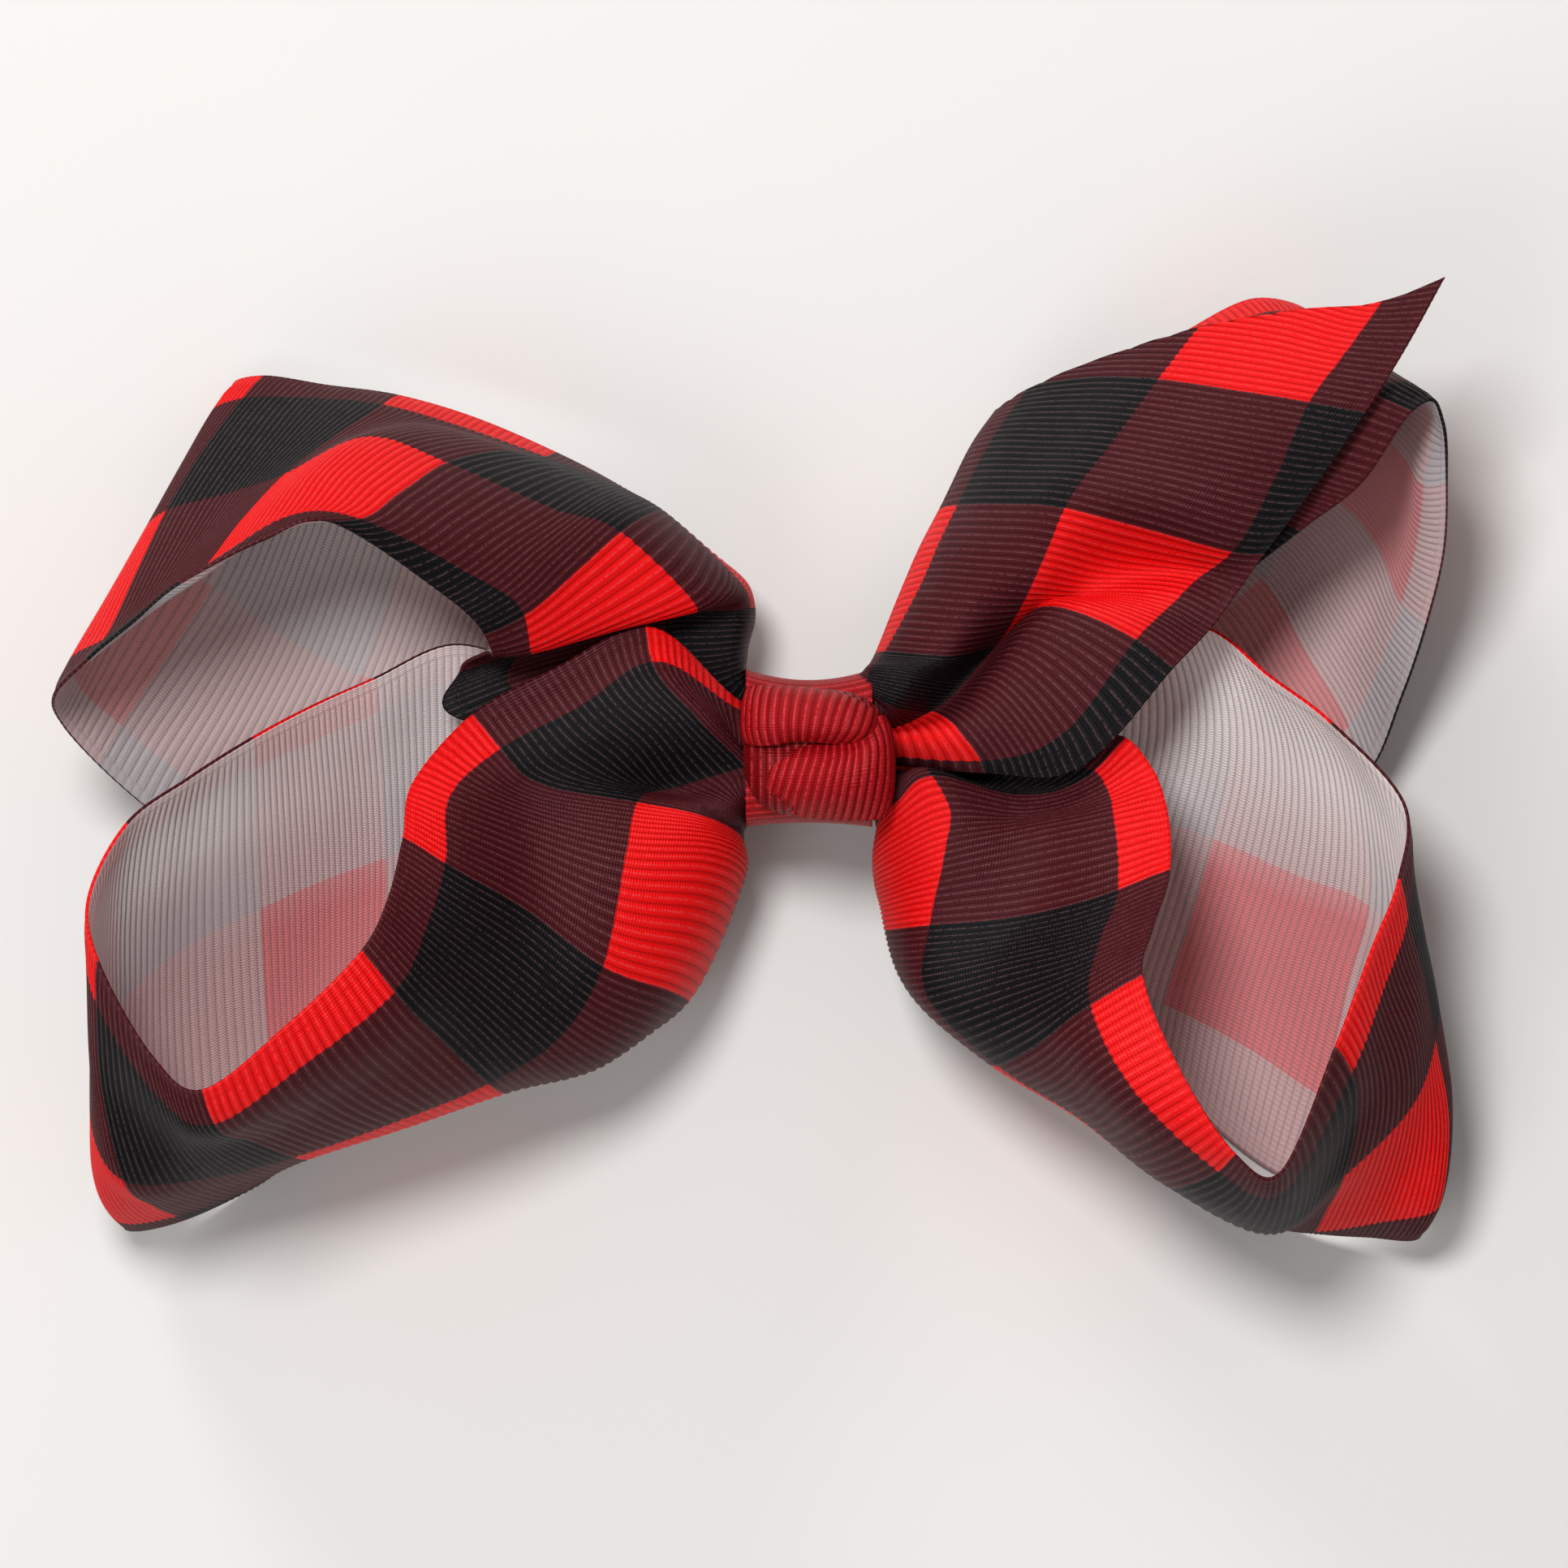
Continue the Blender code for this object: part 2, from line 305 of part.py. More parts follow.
def ribbon_grid(ribs, both_ends, cut, cells_per_rib, cells_across):
    """Grid of points on the middle of the cloth as drawn: rows along the length, columns across."""
    rows = run_under_knot(ribs, both_ends)
    lines = np.asarray(rib_lines)
    across = []
    for left, right in zip(lines[:-1], lines[1:]):
        parts = cells_across if right - left > narrow_strip else 1
        across.extend(np.linspace(left, right, parts, endpoint=False))
    across.append(lines[-1])
    across = np.asarray(across)
    columns = []
    for number, line in enumerate(lines):
        share = line / lines[-1]
        places = [row[0][0] + (row[0][1] - row[0][0]) * share for row in rows]
        points = [row[1][number] for row in rows]
        steps = []
        for begin, finish in zip(places[:-1], places[1:]):
            steps.extend(np.linspace(begin, finish, cells_per_rib, endpoint=False))
        steps.append(places[-1])
        steps = np.asarray(steps)
        if cut is not None:
            wanted_end = cut[0] + (cut[1] - cut[0]) * share
            steps = places[0] + (steps - places[0]) * (wanted_end - places[0]) / (places[-1] - places[0])
        columns.append(smooth_curve(places, points, steps))
    columns = np.asarray(columns)
    grid = np.zeros((columns.shape[1], len(across), 3))
    for number in range(columns.shape[1]):
        grid[number] = smooth_curve(lines, columns[:, number], across)
    middle = grid.mean(axis=1, keepdims=True)
    return middle + (grid - middle) * ribbon_width / lines[-1]


def overall_fit(grids):
    """Scale for each axis and height of the table under the drawing, from the overall sizes."""
    points = np.concatenate([grid.reshape(-1, 3) for grid in grids])
    low = points.min(axis=0)
    high = points.max(axis=0)
    scale = (np.array((bow_width, bow_height, bow_depth)) - ribbon_wall) / (high - low)
    return scale, low[2]


def fitted(grid, scale, table):
    """The grid at its overall size in millimetres, lying on z = 0."""
    return (grid - np.array((0.0, 0.0, table))) * scale + np.array((0.0, 0.0, ribbon_wall / 2))


def grid_normals(grid):
    along = np.gradient(grid, axis=0)
    across = np.gradient(grid, axis=1)
    normal = np.cross(along, across)
    return normal / (np.linalg.norm(normal, axis=2, keepdims=True) + 1e-12)


def add_object(name, vertices, faces, colour, roughness, metallic, smooth):
    mesh = bpy.data.meshes.new(name)
    mesh.from_pydata([tuple(vertex) for vertex in vertices], [], faces)
    mesh.validate()
    work = bmesh.new()
    work.from_mesh(mesh)
    bmesh.ops.recalc_face_normals(work, faces=work.faces)
    work.to_mesh(mesh)
    work.free()
    for polygon in mesh.polygons:
        polygon.use_smooth = smooth
    material = bpy.data.materials.new(name + "_material")
    material.use_nodes = True
    shader = material.node_tree.nodes["Principled BSDF"]
    shader.inputs["Base Color"].default_value = (colour[0], colour[1], colour[2], 1.0)
    shader.inputs["Roughness"].default_value = roughness
    shader.inputs["Metallic"].default_value = metallic
    mesh.materials.append(material)
    thing = bpy.data.objects.new(name, mesh)
    bpy.context.scene.collection.objects.link(thing)
    return thing


def add_ribbon(name, grid, colour, roughness):
    """A closed wall of cloth around the grid."""
    normal = grid_normals(grid)
    half = ribbon_wall * 0.5 * MM
    rows, columns = grid.shape[:2]
    upper = (grid * MM + normal * half).reshape(-1, 3)
    lower = (grid * MM - normal * half).reshape(-1, 3)
    vertices = np.concatenate([upper, lower])
    count = rows * columns
    faces = []
    for i in range(rows - 1):
        for j in range(columns - 1):
            a = i * columns + j
            b = a + 1
            c = a + columns + 1
            d = a + columns
            faces.append((a, b, c, d))
            faces.append((count + d, count + c, count + b, count + a))
    rim = [j for j in range(columns)]
    rim += [i * columns + columns - 1 for i in range(1, rows)]
    rim += [(rows - 1) * columns + j for j in range(columns - 2, -1, -1)]
    rim += [i * columns for i in range(rows - 2, 0, -1)]
    for start, end in zip(rim, rim[1:] + rim[:1]):
        faces.append((end, start, count + start, count + end))
    return add_object(name, vertices, faces, colour, roughness, 0.0, True)


def rounded_loop(half_y, half_z, centre_y, centre_z, corner, corner_points):
    """Points of a rounded rectangle in the YZ plane."""
    points = []
    for quarter, (sign_y, sign_z) in enumerate(((1, 1), (-1, 1), (-1, -1), (1, -1))):
        for step in range(corner_points):
            angle = (quarter + step / (corner_points - 1)) * math.pi / 2
            y = centre_y + sign_y * (half_y - corner) + corner * math.cos(angle)
            z = centre_z + sign_z * (half_z - corner) + corner * math.sin(angle)
            points.append((y, z))
    return points


def add_band(low, high):
    """The tied ribbon where it passes around the gathered loops, flared at its two mouths.

    low and high are the corners of the gathered loops. Returns the band's front and back.
    """
    half_y = (high[1] - low[1]) / 2 + clearance
    half_z = (high[2] - low[2]) / 2 + clearance
    centre_y = (high[1] + low[1]) / 2
    centre_z = (high[2] + low[2]) / 2
    vertices = []
    places = (-1.0, -0.66, -0.33, 0.0, 0.33, 0.66, 1.0)
    for place in places:
        x = place * band_width / 2
        flare = band_flare * place * place
        outside = rounded_loop(half_y + band_wall + flare, half_z + band_wall,
                               centre_y, centre_z, band_corner + band_wall, 5)
        inside = rounded_loop(half_y, half_z, centre_y, centre_z, band_corner, 5)
        vertices.extend((x, y, z) for y, z in outside + inside)
    around = len(outside)
    stride = 2 * around
    faces = []
    for number in range(len(places) - 1):
        base = number * stride
        inner = base + around
        for k in range(around):
            n = (k + 1) % around
            faces.append((base + k, base + n, base + stride + n, base + stride + k))
            faces.append((inner + n, inner + k, inner + stride + k, inner + stride + n))
    last = (len(places) - 1) * stride
    for k in range(around):
        n = (k + 1) % around
        faces.append((k, around + k, around + n, n))
        faces.append((last + n, last + around + n, last + around + k, last + k))
    add_object("centre_band", np.asarray(vertices) * MM, faces, (0.42, 0.01, 0.02), 0.6, 0.0, True)
    return centre_z + half_z + band_wall, centre_z - half_z - band_wall


def knot_height_at(x, y):
    """Rise of the knot above its upright rim at a place inside its outline."""
    u = x / (knot_width / 2)
    v = y / (knot_height / 2)
    inset = max(0.0, 1.0 - abs(u) ** knot_squareness - abs(v) ** knot_squareness)
    dome = inset ** knot_fullness
    valley_line = 0.14 + (0.22 if u > 0 else -0.09) * u * u
    valley_width = 0.13
    valley = math.exp(-((v - valley_line) / valley_width) ** 2) * max(0.0, 1.0 - abs(u) ** 3)
    return dome * (knot_rise - knot_foot) - valley * knot_groove * dome


def add_knot(base):
    """The knot: two passes of ribbon lying over one another, flat behind."""
    rings = 9
    around = 28
    chamfer = 0.93
    vertices = []
    for ring in range(rings, 0, -1):
        share = math.sin(ring / rings * math.pi / 2)
        for k in range(around):
            angle = 2 * math.pi * k / around
            cosine = math.cos(angle)
            sine = math.sin(angle)
            reach = (abs(cosine) ** knot_squareness + abs(sine) ** knot_squareness) ** (-1 / knot_squareness)
            x = share * reach * cosine * knot_width / 2
            y = share * reach * sine * knot_height / 2
            rise = knot_height_at(x, y) if ring < rings else 0.0
            vertices.append((x, y, base + knot_foot + rise))
    top = len(vertices)
    vertices.append((0.0, 0.0, base + knot_foot + knot_height_at(0.0, 0.0)))
    under = len(vertices)
    for x, y, _ in vertices[:around]:
        vertices.append((x * chamfer, y * chamfer, base))
    faces = []
    for ring in range(rings - 1):
        start = ring * around
        for k in range(around):
            n = (k + 1) % around
            faces.append((start + k, start + n, start + around + n, start + around + k))
    last = (rings - 1) * around
    for k in range(around):
        n = (k + 1) % around
        faces.append((last + k, last + n, top))
        faces.append((under + k, under + n, n, k))
    faces.append(tuple(under + k for k in range(around - 1, -1, -1)))
    vertices = np.asarray(vertices) + np.array((0.0, knot_shift, 0.0))
    add_object("centre_knot", vertices * MM, faces, (0.45, 0.01, 0.02), 0.55, 0.0, True)


def add_clip(top):
    """A closed spring clip as one plain bar: flat jaw below, upper jaw, and tails spread behind the hinge."""
    height = min(clip_height, top)
    half_length = clip_length / 2
    hinge = half_length - clip_tail
    notch = 0.3 * clip_tail
    outline = (
        (-half_length, 0.0),
        (half_length, 0.0),
        (half_length, clip_sheet),
        (hinge + notch, clip_sheet * 1.7),
        (half_length, height - clip_sheet),
        (half_length, height),
        (hinge, height),
        (clip_tip - half_length, height * 0.74),
        (-half_length, clip_sheet * 1.7),
    )
    half = clip_width / 2
    count = len(outline)
    vertices = [(x, -half, z) for x, z in outline]
    vertices += [(x, half, z) for x, z in outline]
    faces = [tuple(range(count - 1, -1, -1)), tuple(range(count, 2 * count))]
    for k in range(count):
        n = (k + 1) % count
        faces.append((k, n, count + n, count + k))
    add_object("hair_clip", np.asarray(vertices) * MM, faces, (0.55, 0.55, 0.56), 0.3, 1.0, False)


def main():
    clear_scene()
    cloth = (0.24, 0.02, 0.03)
    pieces = (
        ("loop_lower_left", lower_left_ribs, True, None),
        ("loop_upper_left", upper_left_ribs, True, None),
        ("loop_lower_right", lower_right_ribs, True, None),
        ("loop_upper_right", upper_right_ribs, True, None),
        ("tail", tail_ribs, False, tail_cut),
    )
    grids = [ribbon_grid(ribs, both_ends, cut, 2, 2) for _, ribs, both_ends, cut in pieces]
    scale, table = overall_fit(grids)
    gathered = []
    for (name, ribs, both_ends, cut), grid in zip(pieces, grids):
        add_ribbon(name, fitted(grid, scale, table), cloth, 0.7)
        fine = fitted(ribbon_grid(ribs, both_ends, cut, 12, 4), scale, table).reshape(-1, 3)
        gathered.append(fine[abs(fine[:, 0]) < (band_width + ribbon_wall) / 2])
    gathered = np.concatenate(gathered)
    front, back = add_band(gathered.min(axis=0) - ribbon_wall / 2, gathered.max(axis=0) + ribbon_wall / 2)
    add_knot(front + clearance)
    add_clip(back - clearance)


main()
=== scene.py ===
import math
import bpy
import numpy as np
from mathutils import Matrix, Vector


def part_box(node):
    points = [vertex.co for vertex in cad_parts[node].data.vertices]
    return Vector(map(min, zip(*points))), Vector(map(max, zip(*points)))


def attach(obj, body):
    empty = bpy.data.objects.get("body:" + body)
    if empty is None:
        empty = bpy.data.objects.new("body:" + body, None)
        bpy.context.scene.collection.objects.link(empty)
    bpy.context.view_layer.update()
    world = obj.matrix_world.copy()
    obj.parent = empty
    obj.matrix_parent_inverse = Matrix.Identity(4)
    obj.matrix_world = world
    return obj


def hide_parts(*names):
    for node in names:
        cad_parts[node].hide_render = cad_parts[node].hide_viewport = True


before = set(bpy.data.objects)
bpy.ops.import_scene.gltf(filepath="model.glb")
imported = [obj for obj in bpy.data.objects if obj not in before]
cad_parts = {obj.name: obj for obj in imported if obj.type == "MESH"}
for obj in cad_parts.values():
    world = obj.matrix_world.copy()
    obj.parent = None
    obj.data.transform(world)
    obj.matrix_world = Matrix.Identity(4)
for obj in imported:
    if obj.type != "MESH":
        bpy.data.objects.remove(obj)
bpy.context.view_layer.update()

# Hair bow of checked grosgrain ribbon. Shapes are drawn in millimetres and made in metres.
mm = 0.001
unseen = 1e-9                 # keeps a length from being nought

# The printed ribbon
ribbon = {
    "width": 57.0,
    "ribSteps": 4,            # rows of points for each rib
    "columns": 32,            # points across, besides those of the selvedges
    "selvedge": (0.0, 0.3, 0.8, 1.5, 2.3),
    "gathering": 0.75,        # share of its width that the ribbon keeps under the knot
    "middleGap": 0.35,        # from the middle of the bow to the ribbon's hidden end
    "check": 22.5,            # length and width of one check
    "firstStripe": 5.5,       # the stripe that selvedge one cuts off
    "printBlur": 0.2,
    "printWander": 0.25,      # how far the print's edges stray
    "red": (0.86, 0.004, 0.005),
    "maroon": (0.066, 0.0060, 0.0095),
    "black": (0.0045, 0.0045, 0.0060),
    "backWhite": (0.95, 0.88, 0.86),
    "backRed": (0.74, 0.22, 0.23),
    "backMaroon": (0.62, 0.42, 0.42),
    "backBlack": (0.50, 0.45, 0.47),
    # painted shade: the furrow colours darken the valleys between ribs, on the back and on the face
    "backFurrowPaintedShade": (0.30, 0.24, 0.26),
    "furrowPaintedShade": (0.004, 0.001, 0.001),
    # painted highlight: a lighter colour laid along the rib tops
    "crownPaintedHighlight": (0.80, 0.42, 0.43),
    # sizes of the patches in the print, the face, the back and the gloss, as noise scales
    "printGrain": 900.0,
    "faceGrain": 2600.0,
    "backGrain": 2400.0,
    "glossGrain": 400.0,
    # painted shade in the rib valleys and a painted highlight on the rib tops: where each colour starts on
    # a rib's side and how softly, then how much of it shows
    "furrowShadeEdge": (0.15, 0.3),
    "furrowShadeShare": 0.3,
    "crownHighlightEdge": (0.9, 0.14),
    "crownHighlightBreaks": (0.45, 0.25),
    "crownHighlightShare": 0.075,
    "backFurrowShadeEdge": (0.25, 0.5),
    "backFurrowShadeShare": 0.35,
    # least roughness, and what the grain adds to it
    "roughness": (0.44, 0.14),
    "backRoughness": (0.55, 0.15),
    "gloss": 0.12,
    "backGloss": 0.35,
    "backSheen": 0.04,
}

# Each kind of cloth: sizes of its ribs and edges
ribbonCloth = {"thickness": 0.42, "ribPitch": 1.07, "ribHeight": 0.22, "edgeBumps": 0.07, "flatEdge": 1.2}
knotCloth = {"thickness": 0.5, "ribPitch": 1.05, "ribHeight": 0.16, "edgeBumps": 0.12, "flatEdge": 0.3}

# The fine relief of the weave, and the fade of the ribs beside the selvedge
weave = {
    "ribShape": 0.6,
    "ribShare": 0.75,
    "threadPitch": 0.36,
    "threadShare": 0.12,
    "depth": 0.0002,
    "strength": 0.8,
    "edge": 1.5,              # width of the selvedge, which has no ribs
    "edgeFade": 0.5,
    "edgeLag": 0.2,           # the selvedge's bumps start this far before the ribs
    "fleckShare": 0.15,
}

# Lines across the ribbon at which each rib is drawn
ribLines = (0.0, 5.5, 17.0, 28.0, 39.0, 50.5, 57.0)
tableDrop = 1.3               # the ribs are drawn this far above the table

# Each rib: where it crosses the ribbon's length at selvedge one and two, and its points on the rib lines
lowerLeftRibs = (
    ((0, 0), ((-7.5, 5.5, 24), (-7.5, 4.5, 26), (-7.5, 1.5, 27), (-7.5, -2.3, 22),
        (-7.5, -4.5, 26), (-7.5, -6.3, 23), (-7.5, -7, 19))),
    ((15, 15), ((-20, 15, 29), (-19.3, 10.8, 31), (-14, 4.5, 31), (-8.3, -1.3, 26),
        (-8.2, -4.6, 26), (-8.2, -7.4, 21.5), (-8.6, -8.6, 16.5))),
    ((26, 26), ((-30.5, 10.2, 30), (-27.5, 5.7, 32), (-22, 0.8, 30), (-17.5, -4.1, 24),
        (-11, -6.3, 28), (-8.8, -8.6, 21.5), (-9.2, -10, 15.5))),
    ((37.5, 37.5), ((-40.3, 4.7, 31), (-37, 0.6, 33), (-32, -3.5, 31.5), (-21, -5.8, 29),
        (-12.2, -7.4, 27.5), (-8.8, -10.4, 19.5), (-9.5, -12.4, 12.8))),
    ((48, 48), ((-47, -3, 36), (-42.8, -4.8, 37), (-33, -8.5, 32), (-22.3, -11.5, 31),
        (-12.5, -12, 26), (-8.7, -14.5, 16), (-10, -16.5, 9.5))),
    ((60, 60), ((-48.2, -9.7, 42), (-43.4, -12.8, 42), (-34, -18.3, 35), (-25.1, -24.8, 32),
        (-17.5, -27.5, 25), (-15.3, -29, 14), (-16.5, -29.5, 8))),
    ((71, 71), ((-49.7, -16.5, 48), (-45.5, -20, 46), (-37.5, -26.5, 39), (-30, -32.8, 33),
        (-25, -36, 23.5), (-25, -35, 12), (-25.5, -34.5, 6))),
    ((82.5, 82.5), ((-52.8, -22.8, 53), (-49.2, -27.6, 51), (-43.5, -33.5, 42.5), (-38.5, -38.3, 33.5),
        (-36.5, -39.5, 23), (-36.5, -38.5, 11.5), (-37, -38, 5))),
    ((94, 94), ((-61.5, -31.5, 54.5), (-59.5, -35.8, 52), (-55, -40.3, 42), (-50, -43, 32),
        (-48, -43.5, 21.5), (-48, -42.5, 10), (-48, -42, 3.5))),
    ((105, 105), ((-71.3, -39, 53), (-70, -42.7, 50), (-66, -44.8, 40), (-61.3, -46.9, 30.5),
        (-59.5, -47.2, 20), (-59.5, -46.5, 9), (-59.5, -46, 2.5))),
    ((116, 116), ((-77.3, -35, 51), (-76, -40, 49), (-74, -45.5, 39.5), (-71, -49.3, 30),
        (-68.5, -50.7, 19.5), (-67, -51, 8.5), (-66.5, -51, 2))),
    ((127.5, 127.5), ((-83.7, -24, 46), (-83.6, -29, 44.5), (-83.2, -39, 39), (-81, -49.7, 33),
        (-78, -52.7, 23.5), (-75.5, -54.2, 12), (-74.3, -54.8, 5.5))),
    ((139, 139), ((-84.8, -16.5, 43), (-84.6, -20, 40), (-84.6, -31, 35), (-84.8, -42, 30),
        (-84.6, -50, 22.5), (-82.5, -54.8, 13), (-80.5, -56.3, 7))),
    ((150, 150), ((-80.5, -8, 39), (-81.5, -11.5, 35.5), (-82.5, -21, 29.5), (-82.7, -30.5, 23.5),
        (-83, -40, 17), (-82.5, -50, 11), (-81.5, -55, 7))),
    ((161, 161), ((-73.5, -2.8, 36), (-74.3, -6, 32), (-75.5, -15, 25), (-76, -23.5, 18.5),
        (-76, -33, 13), (-75.5, -43, 8), (-75, -49, 5.5))),
    ((172.5, 172.5), ((-66, 2, 33), (-66, -1.3, 29), (-66, -9.5, 21.5), (-65.8, -18, 14.5),
        (-65.5, -27.5, 9), (-65, -37.5, 4.5), (-65, -44, 2.5))),
    ((184, 184), ((-59, 5.8, 28.5), (-58.8, 2, 25), (-58.3, -6, 18), (-58, -14.5, 11.5),
        (-58, -24.5, 6.5), (-58, -35, 3.5), (-58, -41.5, 2))),
    ((195, 195), ((-52, 9, 24), (-51.8, 5.2, 21.5), (-51.3, -3, 15), (-51, -12, 9.5),
        (-51, -22, 5.5), (-50, -32, 3), (-49.5, -38, 2))),
    ((206, 206), ((-43, 13, 20.5), (-43, 9, 18), (-43, 0, 13), (-43, -9, 8.5),
        (-42, -18.5, 5.5), (-40.5, -29, 3), (-39.5, -35, 2.5))),
    ((218, 218), ((-33, 10.5, 18), (-32.5, 7, 16.5), (-32.5, 0, 13.5), (-32, -7.5, 9.5),
        (-31, -15, 6.5), (-29, -24, 4.5), (-28, -29, 4))),
    ((235, 235), ((-18, 7, 17), (-18, 5, 16), (-18, 1, 14.8), (-18, -2.5, 13.8),
        (-18, -5.5, 13), (-17.5, -8.5, 12.5), (-17, -10.5, 12.5))),
    ((247, 247), ((-7.5, 4.5, 15.5), (-7.5, 3, 15), (-7.5, 1.5, 14.7), (-7.5, 0, 14.5),
        (-7.5, -1.5, 14.5), (-7.5, -3.2, 14.7), (-7.5, -4.5, 15))),
)

upperLeftRibs = (
    ((0, 0), ((-7.5, 8.3, 16), (-7.5, 7.9, 18.5), (-7.5, 6.8, 20.5), (-7.5, 5.6, 20.5),
        (-7.5, 4.4, 20), (-7.5, 3, 19.5), (-7.5, 2, 19.3))),
    ((8, 8), ((-8.2, 12, 14.5), (-8.8, 11.7, 18.5), (-11.5, 11, 21.5), (-16, 10.5, 22),
        (-23, 9, 22.3), (-32, 6.3, 22.5), (-38.5, 3.5, 22.5))),
    ((16, 20), ((-7.3, 16, 14), (-8, 16.3, 18.5), (-11.5, 16.6, 21.8), (-17.5, 16.8, 23),
        (-25.5, 15, 23.5), (-35, 12.4, 23.5), (-41.8, 10, 23.5))),
    ((22, 29.5), ((-7.4, 18.2, 14.5), (-8.1, 18.1, 18.8), (-10.9, 17.9, 23), (-16, 17.3, 26),
        (-25, 15.8, 27.5), (-33.8, 13.6, 28.5), (-38.8, 12, 28.5))),
    ((28, 39), ((-8.2, 20.3, 15), (-8.9, 19.9, 20), (-10.5, 18.9, 25.5), (-14.2, 17.7, 29.3),
        (-24, 15.3, 32), (-33.5, 12.7, 34), (-38, 12.3, 34.5))),
    ((42.5, 42.5), ((-17, 27, 13), (-17.8, 28.3, 18), (-19.8, 28, 27), (-23, 26, 33),
        (-28.2, 21.5, 36), (-34.2, 16.5, 37), (-38.8, 14.2, 37))),
    ((53, 53), ((-22.8, 31.5, 10), (-23.7, 31.6, 15.5), (-26.5, 31, 26), (-30.5, 28.5, 34),
        (-36, 25, 39), (-41, 21.5, 41), (-44.5, 19.5, 41))),
    ((65, 65), ((-30.8, 35.8, 8), (-32, 35, 13.3), (-37, 35.5, 24.5), (-43.3, 34, 33.5),
        (-48.5, 30.5, 41), (-53.2, 27.3, 46), (-57, 27.2, 47.5))),
    ((76, 76), ((-40.3, 39.9, 7), (-42, 38.6, 12.2), (-46.8, 38.5, 22.5), (-52.5, 37, 32),
        (-57.5, 33, 39.5), (-61.5, 27.5, 46), (-64.5, 25, 48.5))),
    ((87.5, 87.5), ((-49.5, 42.6, 7), (-51.2, 41.2, 12.2), (-56.5, 37.3, 23.2), (-62, 32.7, 33),
        (-67, 27, 41), (-71.8, 20.8, 47.5), (-74, 20, 49.5))),
    ((99, 99), ((-58, 43.8, 7), (-60, 42, 12), (-64, 36.8, 22.3), (-68.5, 30.5, 31.5),
        (-72.5, 24, 39.5), (-77, 17.5, 46), (-79.5, 15.5, 48.5))),
    ((110, 110), ((-65.5, 44.9, 7), (-67.7, 42, 11.5), (-72, 35.7, 20.7), (-76, 28.5, 29),
        (-79.3, 21, 36.5), (-82.8, 13.3, 43), (-85, 11, 46))),
    ((118, 118), ((-68.8, 44.2, 6.5), (-71, 40.8, 10.5), (-74.6, 34, 18.2), (-78.5, 26.5, 25),
        (-82.8, 18.5, 31), (-87, 11, 36.5), (-89, 7, 39))),
    ((126, 126), ((-67.7, 42.5, 5), (-69.5, 39.5, 8.3), (-73.5, 32, 14), (-78, 24, 19.5),
        (-82.3, 15.5, 24), (-86.3, 7.5, 28), (-88.3, 3.5, 30))),
    ((132.5, 132.5), ((-62.5, 41.5, 4), (-64, 37.5, 6.5), (-67.5, 28.5, 10.5), (-71.5, 20, 14),
        (-76.5, 12, 18), (-82, 3.5, 22), (-84.5, -1, 24))),
    ((144, 144), ((-54.5, 38, 3), (-56, 33.5, 5), (-59.5, 23.5, 7.5), (-63, 14, 9.5),
        (-67.5, 5, 12), (-72.5, -4, 14.5), (-75, -9, 16))),
    ((155, 155), ((-46, 34, 3), (-47.5, 29, 4), (-50.5, 19, 5.5), (-54, 9.5, 7),
        (-58.5, 0.5, 8.5), (-63.5, -8, 9.5), (-66, -13, 10))),
    ((172, 172), ((-33, 27.5, 4), (-34, 23, 4.5), (-37, 14.5, 5.5), (-40, 6, 6),
        (-44, -2, 6), (-48, -10, 5), (-50, -14, 4.5))),
    ((190, 190), ((-21, 18.5, 8), (-22, 15.5, 8.3), (-24, 10, 9), (-26, 4, 9),
        (-28, -2, 8), (-31, -7.5, 6), (-32, -10, 5.3))),
    ((199, 199), ((-14, 11.5, 10), (-14.5, 9.5, 10.2), (-15.5, 6, 10.5), (-16.5, 2, 10.5),
        (-17.5, -1.5, 10.2), (-18.5, -5, 9.5), (-19, -7, 9.2))),
    ((208, 208), ((-7.5, 6.5, 11.3), (-7.5, 5.5, 11.3), (-7.5, 3.5, 11.3), (-7.5, 1.5, 11.3),
        (-7.5, -0.5, 11.3), (-7.5, -2.5, 11.3), (-7.5, -3.5, 11.3))),
)

